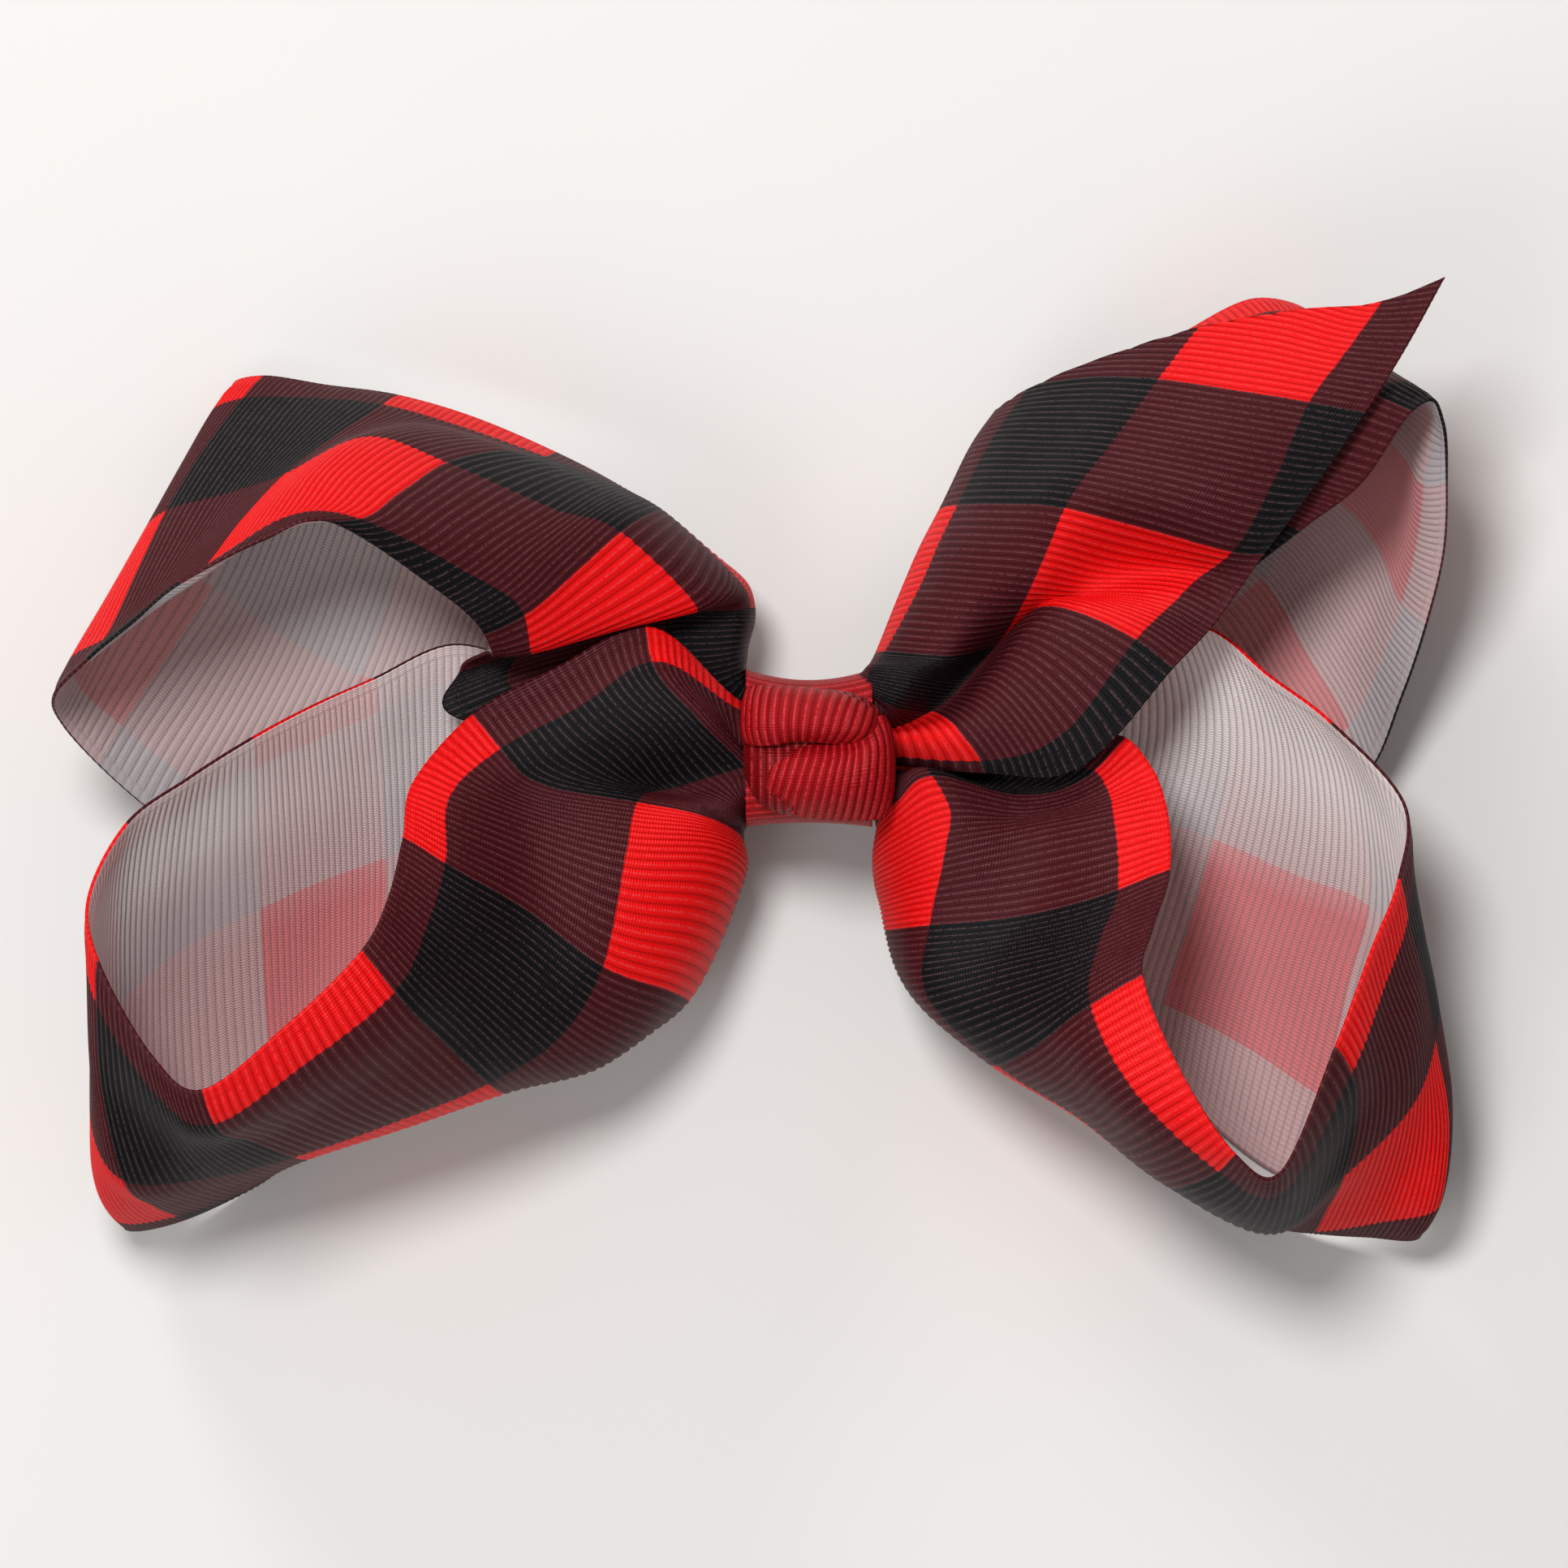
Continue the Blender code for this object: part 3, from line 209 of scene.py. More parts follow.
tailRibs = (
    ((0, 0), ((7.5, 8.5, 22), (7.5, 7.5, 26), (7.5, 5, 27), (7.5, 2.8, 23),
        (7.5, 2, 27), (7.5, 0.3, 26), (7.5, -0.8, 24))),
    ((8, 8), ((5.3, 8.9, 24.5), (6.3, 7.7, 27.2), (9.2, 5.9, 28.2), (13.5, 5, 22),
        (16.5, 3.2, 29), (19.5, -0.5, 28.5), (20, -2, 27.5))),
    ((19, 19), ((5.9, 10, 24), (6.7, 9.9, 26.6), (12, 9.7, 28.8), (18, 9, 21),
        (22.5, 9.5, 30), (29, 2.5, 32), (31, -1.5, 31))),
    ((30.5, 30.5), ((7.2, 11.9, 16.5), (8.4, 12, 22.5), (15, 11.8, 28.8), (21.5, 13.5, 22),
        (27.5, 17.3, 31), (37.6, 13.6, 34.5), (42, 10.3, 34))),
    ((42, 42), ((10.5, 20, 16), (13, 20.6, 22.5), (19, 20.4, 30.5), (25.3, 20, 33.5),
        (31.5, 19.3, 30), (42.5, 18.3, 36), (47.2, 16, 36))),
    ((48, 48), ((12.6, 24.8, 15.5), (15, 25.2, 21.8), (21, 25.1, 31), (27.4, 24.7, 36),
        (35.2, 22.9, 32.3), (45.7, 21.3, 34.6), (50, 19.9, 36.3))),
    ((53, 53), ((14.8, 29, 15), (17, 29.3, 21), (23, 29.3, 31), (29.3, 28.9, 38),
        (38, 26.9, 39), (48.8, 24, 38), (52.5, 23.6, 37.5))),
    ((64, 64), ((18.5, 36.5, 13.5), (21, 37, 19.5), (28, 36.8, 30), (34.8, 36.3, 38.5),
        (43.5, 34.8, 42), (53.8, 32.8, 42.5), (58.8, 32.2, 42))),
    ((75.5, 75.5), ((22.5, 42.3, 11.5), (25.5, 43.3, 17.5), (33, 44.2, 28.5), (40.3, 43.8, 37.5),
        (48.5, 42.6, 42.5), (57.6, 41.2, 45), (64.2, 40, 45.5))),
    ((86, 86), ((26, 48.5, 9.5), (29.5, 49, 15.5), (37.5, 50.2, 27.5), (45.5, 50.5, 36.5),
        (54, 49.4, 42.5), (62.3, 47.5, 46), (68.5, 47, 47.5))),
    ((98, 98), ((30, 55, 8), (33.5, 55.5, 14), (42, 57, 26.5), (51, 57.5, 35.5),
        (59.5, 56.5, 42), (67.3, 54.5, 47), (73.2, 55.6, 49))),
)

lowerRightRibs = (
    ((0, 0), ((7.5, -1.5, 21), (7.5, -2, 23), (7.5, -3, 25), (7.5, -4, 26),
        (7.5, -5.2, 25.5), (7.5, -6.5, 23), (7.5, -7.5, 19))),
    ((12, 12), ((18, -1.2, 21.5), (17, -2.5, 21), (14, -4, 22.8), (9.7, -2.9, 27),
        (8.4, -4.9, 27), (7.5, -7.3, 23), (7.5, -8.2, 18.5))),
    ((20.5, 20.5), ((26.5, 0.8, 25), (23.5, -1.8, 24), (17.8, -4.8, 22), (11.3, -2.4, 28.3),
        (9, -4.9, 28), (7.5, -7.6, 23), (7.6, -8.7, 18))),
    ((30, 30), ((36.5, 2, 29), (33, -2, 28.5), (24, -5, 24.5), (13.6, -2.6, 29.3),
        (9.8, -5.4, 28.8), (7.6, -8.4, 22.5), (7.9, -9.6, 16.5))),
    ((35, 35), ((39.5, -1.5, 31), (34.5, -4.4, 30.5), (25, -7.2, 26), (15.7, -6.4, 29.6),
        (10, -9, 27.5), (7.1, -11.7, 18.5), (8, -12.8, 12.5))),
    ((41, 41), ((41, -5.5, 33.5), (35, -7, 33), (25.5, -9, 28.5), (15.3, -11, 30),
        (9.5, -13.5, 24.5), (7.3, -15, 14), (8.5, -16, 8))),
    ((52.5, 52.5), ((41.4, -13.5, 39), (35.5, -16, 38), (24.5, -19, 31.5), (13.6, -20, 29),
        (8.8, -20.5, 20), (9.3, -20, 10), (10.5, -19.5, 5))),
    ((64, 64), ((39.3, -20, 45), (33, -22.8, 43), (22, -26, 35), (13.3, -28.2, 29.5),
        (11.3, -27.7, 19), (13, -26.5, 8.5), (14, -26, 3.5))),
    ((75, 75), ((38, -25.7, 50), (32.2, -29.3, 48), (26, -34, 40), (21.5, -36.2, 30),
        (20, -35.3, 19), (20.5, -34.7, 8), (21, -34.5, 2.5))),
    ((86, 86), ((42, -36, 52.5), (37, -38.8, 51), (33, -42, 41), (31, -42.3, 30),
        (30, -41.5, 19.5), (30.5, -41, 9), (30.5, -40.5, 2.5))),
    ((97.5, 97.5), ((48.7, -46.5, 52.5), (47, -48.2, 48.5), (42.5, -50.3, 38.5), (41, -50, 28),
        (41, -49, 18), (41, -48.5, 8), (41, -48, 2))),
    ((108, 108), ((54, -48.7, 51), (54, -51, 46.5), (53.5, -54.5, 36.5), (53, -56, 27),
        (53, -55.5, 17), (53.5, -55, 7.5), (53.5, -54.5, 2))),
    ((120, 120), ((60.6, -34, 47), (62.3, -37, 44.5), (63, -43, 37), (61.8, -49.3, 30),
        (60.3, -53, 21), (59.2, -56.1, 10.5), (58.8, -56.5, 4.5))),
    ((131, 131), ((64.8, -23, 44), (66, -27.5, 41), (69, -35, 36), (69.5, -41.5, 30.5),
        (68.5, -48.5, 23), (66.5, -55, 14), (65.5, -57, 8))),
    ((142.5, 142.5), ((68.2, -14.5, 40), (69, -19, 37.5), (71, -26, 33), (72.5, -33.5, 28.5),
        (74.3, -43, 23), (73.4, -53.2, 16.5), (71.5, -57, 11))),
    ((154, 154), ((68.8, -5.5, 35.5), (69.2, -10, 32.5), (70.5, -18, 27.5), (72.3, -27, 23),
        (73, -36.5, 18), (71.5, -46.5, 13), (69.5, -52, 9))),
    ((165, 165), ((60.5, 3.8, 31), (63.3, -0.5, 28), (65.5, -9, 22), (65.8, -17.8, 16.5),
        (63.5, -26.8, 11), (60.3, -40.5, 5.7), (57.2, -50.6, 3))),
    ((176, 176), ((53.5, 9.2, 27), (56, 4.5, 24), (58, -4.5, 18), (57, -14, 12),
        (54.3, -23, 8), (51, -34.4, 4.3), (48.7, -45.2, 2.6))),
    ((187.5, 187.5), ((46, 15, 23), (48, 10, 20.5), (49.3, 0.5, 15), (47.3, -9.8, 10),
        (44.5, -19.8, 6.5), (41.5, -29.5, 4), (40.3, -36.2, 3))),
    ((199, 199), ((36, 15, 18.5), (38, 11.5, 16.8), (39, 3, 13), (37, -6.5, 9.3),
        (34.5, -16, 7), (31.5, -25.5, 5), (30, -31, 4.5))),
    ((213, 213), ((25, 9, 15), (26, 7, 14.7), (26, 2.8, 13.8), (25, -3.5, 11.8),
        (24, -10, 10), (22, -16.5, 8.5), (21, -20.5, 8))),
    ((225, 225), ((15, 6, 15), (15, 5, 14.9), (15, 2.8, 14.7), (15, 0, 14.3),
        (15, -3.8, 13.7), (14.5, -7.5, 13), (14, -9.5, 13))),
    ((235, 235), ((7.5, 4.5, 15.5), (7.5, 3.2, 15.2), (7.5, 1.6, 14.9), (7.5, 0, 14.7),
        (7.5, -1.6, 14.7), (7.5, -3.2, 14.9), (7.5, -4.5, 15.2))),
)

upperRightRibs = (
    ((0, 0), ((7.5, 8, 15), (7.5, 7.4, 17), (7.5, 6.2, 18.5), (7.5, 5, 19),
        (7.5, 3.6, 19), (7.5, 2.2, 18.8), (7.5, 1.2, 18.5))),
    ((16, 16), ((11, 19, 7.4), (12.6, 17.4, 10.2), (16, 13.5, 14.5), (19, 10, 17.5),
        (22, 6.5, 19.8), (24.5, 2.5, 21), (25.5, 0.5, 21.5))),
    ((34, 34), ((19.6, 32.2, 4.4), (21.9, 30, 7.7), (27, 24, 14), (31, 18.5, 19),
        (34, 13.5, 23), (36.5, 8.5, 26), (37, 6.5, 27))),
    ((52, 52), ((31.6, 43.1, 3.5), (34.5, 41.4, 7.6), (39.5, 35.5, 15.5), (43, 30, 22),
        (45.5, 25, 26.5), (46.5, 20.5, 29), (46.5, 18, 30))),
    ((66, 66), ((42.6, 49.4, 3.9), (44.2, 48.2, 9), (48, 45.3, 17.5), (50.3, 40.3, 24.3),
        (50.8, 34.5, 29), (52.3, 28.9, 33.3), (56.8, 26.3, 36))),
    ((78, 78), ((52, 54.1, 4.2), (53.6, 52.2, 9.5), (55.2, 49.9, 18.5), (55.8, 45.5, 26),
        (56, 39.8, 33), (58.3, 34, 38.3), (64, 32, 40.8))),
    ((88.5, 88.5), ((58.3, 52.8, 3.9), (59.5, 51.4, 9), (61.2, 49.5, 18.3), (62.5, 46.8, 27),
        (63.3, 44.6, 35), (64.8, 42.2, 41.8), (69.6, 40.1, 44.6))),
    ((94, 94), ((58.3, 51.6, 3), (60.2, 50.4, 7.5), (63.6, 48, 17), (65.8, 46, 26.8),
        (67.3, 44.6, 34.8), (69, 43.2, 41.2), (71.9, 41.4, 44.8))),
    ((100, 100), ((55, 50.5, 2.1), (58.8, 49.6, 3.6), (64.5, 46.2, 12.2), (68, 43.6, 21.8),
        (70.2, 42, 30.8), (72.2, 40.4, 38.3), (73.2, 39, 42))),
    ((111, 111), ((50.5, 47.3, 2), (55, 45.7, 3.2), (63, 42, 8.8), (67.2, 38.2, 17),
        (69.8, 34.8, 25.5), (71.6, 31.8, 33), (73.9, 32, 36))),
    ((122, 122), ((44.5, 43, 2), (49, 41, 2.6), (57.5, 38.3, 6), (64.8, 35, 11.5),
        (68.7, 30, 18.5), (71, 25, 26), (73.8, 24, 29))),
    ((133.5, 133.5), ((38.5, 39.5, 2), (43, 37.2, 2.5), (53, 33.8, 4.2), (61.8, 30.5, 7.3),
        (66.8, 24.8, 12.8), (69.5, 18, 19), (72, 15.5, 22))),
    ((145, 145), ((33.7, 36.3, 2), (38.5, 33, 2.4), (48, 29.5, 3.9), (57, 26, 5.6),
        (63, 17.5, 9), (67, 10.5, 13.5), (69.3, 7, 16.5))),
    ((156, 156), ((30, 32.9, 2.4), (35, 29, 3), (44.5, 25.5, 4.1), (53, 21, 5.5),
        (58.5, 12, 7), (63.5, 3.5, 9.5), (65.5, -2, 11))),
    ((170, 170), ((25, 26.4, 3.8), (29, 22.5, 4.4), (36.5, 18.5, 5), (43.5, 14, 5.8),
        (49, 6.5, 6), (54, -1, 5.5), (56, -6, 5.5))),
    ((185, 185), ((20.2, 18.6, 6.1), (23, 15.5, 7), (27, 12.5, 7.5), (30.5, 8.5, 8),
        (34, 3, 7.5), (37.5, -3.5, 5.5), (39, -7.5, 5))),
    ((197, 197), ((14, 11.5, 9.5), (15, 10, 9.8), (17, 7, 10), (18.5, 3.5, 10.4),
        (20, -0.5, 10.6), (21.5, -5, 10.2), (22, -8, 9.6))),
    ((207, 207), ((7.5, 6.5, 11.3), (7.5, 5.5, 11.3), (7.5, 3.5, 11.3), (7.5, 1.5, 11.3),
        (7.5, -0.5, 11.3), (7.5, -2.5, 11.3), (7.5, -3.5, 11.3))),
)

# length, side of the print, place along the ribbon where a red check row starts, and how much print shows
# through the white back at selvedge one and at selvedge two
ribbonPieces = {
    "loopLowerLeft": {"node": "loop_lower_left", "ribs": lowerLeftRibs, "printSide": 1, "redStart": 37.5,
                      "length": 247.0, "bothEnds": True, "showThrough": (0.45, 1.0)},
    "loopUpperLeft": {"node": "loop_upper_left", "ribs": upperLeftRibs, "printSide": 1, "redStart": 20.0,
                      "length": 208.0, "bothEnds": True, "showThrough": (0.5, 0.8)},
    "loopLowerRight": {"node": "loop_lower_right", "ribs": lowerRightRibs, "printSide": -1,
                       "redStart": 30.0, "length": 235.0, "bothEnds": True, "showThrough": (0.1, 1.0)},
    "loopUpperRight": {"node": "loop_upper_right", "ribs": upperRightRibs, "printSide": -1,
                       "redStart": 66.0, "length": 207.0, "bothEnds": True, "showThrough": (0.9, 0.9)},
    "looseTail": {"node": "tail", "ribs": tailRibs, "printSide": -1, "redStart": 30.5,
                  "length": 98.0, "bothEnds": False, "showThrough": (0.7, 0.7), "cut": (72.5, 98.0)},
}


def smoothCurve(places, points, wanted):
    places = np.asarray(places, dtype=float)
    points = np.asarray(points, dtype=float)
    wanted = np.asarray(wanted, dtype=float)
    spans = places[1:] - places[:-1]
    slopes = (points[1:] - points[:-1]) / spans[:, None]
    tangents = np.zeros_like(points)
    tangents[0] = slopes[0]
    tangents[-1] = slopes[-1]
    joined = slopes[:-1] * spans[1:, None] + slopes[1:] * spans[:-1, None]
    tangents[1:-1] = joined / (spans[1:] + spans[:-1])[:, None]
    index = np.clip(np.searchsorted(places, wanted, side="right") - 1, 0, len(places) - 2)
    reach = spans[index][:, None]
    u = ((wanted - places[index])[:, None]) / reach
    start = points[index] * (1 + 2 * u) * (1 - u) ** 2 + tangents[index] * reach * u * (1 - u) ** 2
    end = points[index + 1] * u * u * (3 - 2 * u) - tangents[index + 1] * reach * u * u * (1 - u)
    return start + end


def netSurface(ribs, lines, along, across):
    # along: places along the ribbon for each row, across: places across it
    columns = []
    for number, line in enumerate(lines):
        share = line / lines[-1]
        places = [rib[0][0] + (rib[0][1] - rib[0][0]) * share for rib in ribs]
        points = [rib[1][number] for rib in ribs]
        columns.append(smoothCurve(places, points, along))
    columns = np.asarray(columns)
    grid = np.zeros((len(along), len(across), 3))
    for row in range(len(along)):
        grid[row] = smoothCurve(lines, columns[:, row], across)
    return grid


def surfaceNormals(grid):
    normal = np.cross(np.gradient(grid, axis=0), np.gradient(grid, axis=1))
    return normal / (np.linalg.norm(normal, axis=2, keepdims=True) + unseen)


def carriedUnderKnot(ribs, bothEnds):
    # the ribbon runs on under the knot to the middle of the bow, drawn in a little
    def gathered(points, x):
        centre = sum(point[1] for point in points) / len(points)
        return [(x, centre + (point[1] - centre) * ribbon["gathering"], point[2]) for point in points]

    rows = list(ribs)
    (placeOne, placeTwo), points = ribs[0]
    middle = math.copysign(ribbon["middleGap"], points[0][0])
    run = abs(points[0][0]) - ribbon["middleGap"]
    rows.insert(0, ((placeOne - run, placeTwo - run), gathered(points, middle)))
    if bothEnds:
        (placeOne, placeTwo), points = ribs[-1]
        rows.append(((placeOne + run, placeTwo + run), gathered(points, middle)))
    return rows, run


def ribRise(along, pitch):
    roundness = 0.7
    return np.abs(np.sin(math.pi * along / pitch)) ** roundness


def addPiece(name, mesh, material=None):
    thing = bpy.data.objects.new(name, mesh)
    bpy.context.scene.collection.objects.link(thing)
    if material is not None:
        thing.data.materials.append(material)
    return thing


def mapCorners(mesh, places):
    # places: a place along and across the ribbon for each point of the mesh
    layer = mesh.uv_layers.new(name="ribbonMap")
    corner = np.zeros(len(mesh.loops), dtype=np.int32)
    mesh.loops.foreach_get("vertex_index", corner)
    layer.data.foreach_set("uv", places[corner].astype(np.float32).ravel())
    mesh.polygons.foreach_set("use_smooth", [True] * len(mesh.polygons))


def standIn(thing, node):
    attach(thing, "root")
    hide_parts(node)


def addShell(name, grid, along, across, cloth, mapShift=0.0, cutPlace=None, flip=1):
    # a thin closed cloth with ribs on both faces; slot 0 is the face, slot 1 the back, slot 2 the edge
    rows, columns = grid.shape[:2]
    normal = surfaceNormals(grid) * flip
    width = across[-1]
    edge = np.minimum(across, width - across)
    flat = np.clip((edge - cloth["flatEdge"]) / weave["edgeFade"], 0.0, 1.0)
    rise = ribRise(along, cloth["ribPitch"])[:, None] * flat[None, :] * cloth["ribHeight"]
    half = (cloth["thickness"] / 2 + rise)[:, :, None]
    side = np.gradient(grid, axis=1)
    side = side / (np.linalg.norm(side, axis=2, keepdims=True) + unseen)
    bumps = (ribRise(along + weave["edgeLag"], cloth["ribPitch"])[:, None] - 0.5) * cloth["edgeBumps"]
    pull = np.zeros((rows, columns))
    pull[:, 0:2] = -bumps
    pull[:, -2:] = bumps
    body = grid + side * pull[:, :, None]
    face = (body + normal * half).reshape(-1, 3)
    back = (body - normal * half).reshape(-1, 3)
    last = np.full(columns, rows - 1)
    if cutPlace is not None:
        last = np.array([int(np.searchsorted(along, place)) for place in cutPlace])
        last = np.minimum(last, rows - 1)

    def pointAt(i, j):
        return int(min(i, last[j])) * columns + j

    count = rows * columns
    polygons = []
    slots = []
    edges = {}
    for i in range(rows - 1):
        for j in range(columns - 1):
            loop = [pointAt(i, j), pointAt(i, j + 1), pointAt(i + 1, j + 1), pointAt(i + 1, j)]
            clean = [p for k, p in enumerate(loop) if p != loop[k - 1]]
            if len(set(clean)) < 3:
                continue
            if flip < 0:
                clean = clean[::-1]
            polygons.append(clean)
            slots.append(0)
            polygons.append([p + count for p in reversed(clean)])
            slots.append(1)
            for start, end in zip(clean, clean[1:] + clean[:1]):
                edges[(start, end)] = True
    for start, end in list(edges):
        if (end, start) not in edges:
            polygons.append([end, start, start + count, end + count])
            slots.append(2)
    vertices = np.concatenate([face, back])
    used = np.zeros(2 * count, dtype=bool)
    for polygon in polygons:
        used[polygon] = True
    renumber = np.cumsum(used) - 1
    mesh = bpy.data.meshes.new(name)
    faces = [[int(renumber[p]) for p in polygon] for polygon in polygons]
    mesh.from_pydata((vertices[used] * mm).tolist(), [], faces)
    mapGrid = np.zeros((rows, columns, 2))
    mapGrid[:, :, 0] = (along[:, None] + mapShift) * mm
    mapGrid[:, :, 1] = across[None, :] * mm
    mapCorners(mesh, np.concatenate([mapGrid.reshape(-1, 2)] * 2)[used])
    mesh.polygons.foreach_set("material_index", slots)
    mesh.update()
    return addPiece(name, mesh)


class Signal:
    def __init__(self, finish, socket):
        self.finish = finish
        self.socket = socket

    def reckon(self, operation, other, swapped=False, clamp=False):
        first, second = (other, self) if swapped else (self, other)
        return self.finish.node("ShaderNodeMath", {"operation": operation, "use_clamp": clamp},
                                {0: first, 1: second})

    def __add__(self, other):
        return self.reckon("ADD", other)

    def __radd__(self, other):
        return self.reckon("ADD", other, True)

    def __sub__(self, other):
        return self.reckon("SUBTRACT", other)

    def __rsub__(self, other):
        return self.reckon("SUBTRACT", other, True)

    def __mul__(self, other):
        return self.reckon("MULTIPLY", other)

    def __rmul__(self, other):
        return self.reckon("MULTIPLY", other, True)

    def __truediv__(self, other):
        return self.reckon("DIVIDE", other)

    def __rtruediv__(self, other):
        return self.reckon("DIVIDE", other, True)

    def __pow__(self, other):
        return self.reckon("POWER", other)

    def __mod__(self, other):
        return self.reckon("FLOORED_MODULO", other)

    def held(self):
        return self.reckon("ADD", 0.0, clamp=True)

    def past(self, edge, softness):
        # 0 before the edge and 1 past it
        return ((self - edge) / softness + 0.5).held()

    def wave(self):
        return self.finish.node("ShaderNodeMath", {"operation": "SINE"}, {0: self})

    def size(self):
        return self.finish.node("ShaderNodeMath", {"operation": "ABSOLUTE"}, {0: self})


class Finish:
    def __init__(self, name):
        self.material = bpy.data.materials.new(name)
        self.material.use_nodes = True
        self.tree = self.material.node_tree
        self.tree.nodes.clear()

    def node(self, kind, settings=None, sockets=None, output=0):
        made = self.tree.nodes.new(kind)
        for name, value in (settings or {}).items():
            setattr(made, name, value)
        for key, value in (sockets or {}).items():
            socket = made.inputs[key]
            if isinstance(value, Signal):
                self.tree.links.new(value.socket, socket)
            elif isinstance(value, (tuple, list)) and socket.type == "RGBA":
                socket.default_value = (*value[:3], 1.0)
            else:
                socket.default_value = value
        return Signal(self, made.outputs[output])

    def blend(self, factor, first, second):
        return self.node("ShaderNodeMix", {"data_type": "RGBA"}, {0: factor, 6: first, 7: second}, 2)

    def mapped(self):
        place = self.node("ShaderNodeUVMap", {"uv_map": "ribbonMap"})
        along = self.node("ShaderNodeSeparateXYZ", None, {0: place}, 0) / mm
        across = self.node("ShaderNodeSeparateXYZ", None, {0: place}, 1) / mm
        return along, across

    def noise(self, scale, detail=2.0):
        place = self.node("ShaderNodeTexCoord", None, None, 3)
        return self.node("ShaderNodeTexNoise", None,
                         {"Vector": place, "Scale": scale, "Detail": detail, "Roughness": 0.5})

    def bump(self, height, distance=weave["depth"], strength=weave["strength"]):
        return self.node("ShaderNodeBump", None,
                         {"Height": height, "Distance": distance, "Strength": strength})

    def ribCrown(self, along, pitch):
        # 1 on the top of each rib and 0 between two ribs
        return (along * (math.pi / pitch)).wave().size() ** 2.0

    def surface(self, varying, fixed):
        # varying: sockets that change over the surface, fixed: plain values
        shader = self.tree.nodes.new("ShaderNodeBsdfPrincipled")
        for key, value in fixed.items():
            socket = shader.inputs[key]
            socket.default_value = (*value[:3], 1.0) if socket.type == "RGBA" else value
        for key, value in varying.items():
            self.tree.links.new(value.socket, shader.inputs[key])
        out = self.tree.nodes.new("ShaderNodeOutputMaterial")
        self.tree.links.new(shader.outputs[0], out.inputs[0])
        return self.material


def checkShares(finish, along, across):
    # share of a red stripe along and across the ribbon, from 0 to 1
    check = ribbon["check"]
    blur = ribbon["printBlur"]
    wander = (finish.noise(ribbon["printGrain"]) - 0.5) * ribbon["printWander"]
    step = (along + wander) % (2 * check)
    across = across + wander
    rows = step.past(0.0, blur) - step.past(check, blur) + step.past(2 * check, blur)
    first = ribbon["firstStripe"]
    columns = 1 - across.past(first, blur) + across.past(first + check, blur)
    columns = columns - across.past(first + 2 * check, blur)
    return rows, columns


def weaveHeight(along, across, edge, pitch):
    # rounded ribs crossed by the fine threads that run along the ribbon
    rib = (along * (math.pi / pitch)).wave().size() ** weave["ribShape"]
    threadReliefAndPaintedHighlight = (across * (2 * math.pi / weave["threadPitch"])).wave()
    return rib * weave["ribShare"] * edge + threadReliefAndPaintedHighlight * weave["threadShare"]


def ribbonRelief(finish, along, across, fleck):
    border = weave["edge"]
    fade = weave["edgeFade"]
    inside = across.past(border, fade) - across.past(ribbon["width"] - border, fade)
    height = weaveHeight(along, across, inside, ribbonCloth["ribPitch"]) + fleck * weave["fleckShare"]
    return finish.bump(height)


def makePrintedFace():
    finish = Finish("buffaloCheckPrint")
    along, across = finish.mapped()
    rows, columns = checkShares(finish, along, across)
    total = rows + columns
    dark = finish.blend(total.held(), ribbon["black"], ribbon["maroon"])
    colour = finish.blend((total - 1).held(), dark, ribbon["red"])
    crown = finish.ribCrown(along, ribbonCloth["ribPitch"])
    fleck = finish.noise(ribbon["faceGrain"], 1.0)
    # painted shade: the colour darkens in the valleys between ribs
    paintedValleyShade = (1 - crown.past(*ribbon["furrowShadeEdge"])) * ribbon["furrowShadeShare"]
    colour = finish.blend(paintedValleyShade, colour, ribbon["furrowPaintedShade"])
    # a painted highlight: a broken line of lighter colour along the top of each rib
    threadReliefAndPaintedHighlight = crown.past(*ribbon["crownHighlightEdge"]) * fleck.past(*ribbon["crownHighlightBreaks"]) * ribbon["crownHighlightShare"]
    colour = finish.blend(threadReliefAndPaintedHighlight, colour, ribbon["crownPaintedHighlight"])
    least, more = ribbon["roughness"]
    rough = least + finish.noise(ribbon["glossGrain"]) * more
    relief = ribbonRelief(finish, along, across, fleck)
    return finish.surface({"Base Color": colour, "Roughness": rough, "Normal": relief},
                          {"Specular IOR Level": ribbon["gloss"]})


def makePaleBack(showThrough):
    # the print shows through the white more on one side of the ribbon than on the other
    middleLow, middleSpan = 14.0, 18.0
    finish = Finish("paleRibbonBack")
    along, across = finish.mapped()
    rows, columns = checkShares(finish, along, across)
    total = rows + columns
    tinted = finish.blend(total.held(), ribbon["backBlack"], ribbon["backMaroon"])
    tinted = finish.blend((total - 1).held(), tinted, ribbon["backRed"])
    atOne, atTwo = showThrough
    share = atOne + (across - middleLow) * ((atTwo - atOne) / middleSpan)
    low, high = min(showThrough), max(showThrough)
    share = finish.node("ShaderNodeClamp", None, {"Value": share, "Min": low, "Max": high}) \
        if low != high else low
    colour = finish.blend(share, ribbon["backWhite"], tinted)
    fleck = finish.noise(ribbon["backGrain"], 1.0)
    crown = finish.ribCrown(along, ribbonCloth["ribPitch"])
    # painted shade: the white darkens in the valleys between ribs
    paintedValleyShade = (1 - crown.past(*ribbon["backFurrowShadeEdge"])) * ribbon["backFurrowShadeShare"]
    colour = finish.blend(paintedValleyShade, colour, ribbon["backFurrowPaintedShade"])
    least, more = ribbon["backRoughness"]
    rough = least + fleck * more
    relief = ribbonRelief(finish, along, across, fleck)
    return finish.surface({"Base Color": colour, "Roughness": rough, "Normal": relief},
                          {"Specular IOR Level": ribbon["backGloss"], "Sheen Weight": ribbon["backSheen"]})


def columnPlaces():
    edge = list(ribbon["selvedge"])
    width = ribbon["width"]
    middle = np.linspace(edge[-1], width - edge[-1], ribbon["columns"])[1:-1]
    return np.array(edge + list(middle) + [width - place for place in reversed(edge)])


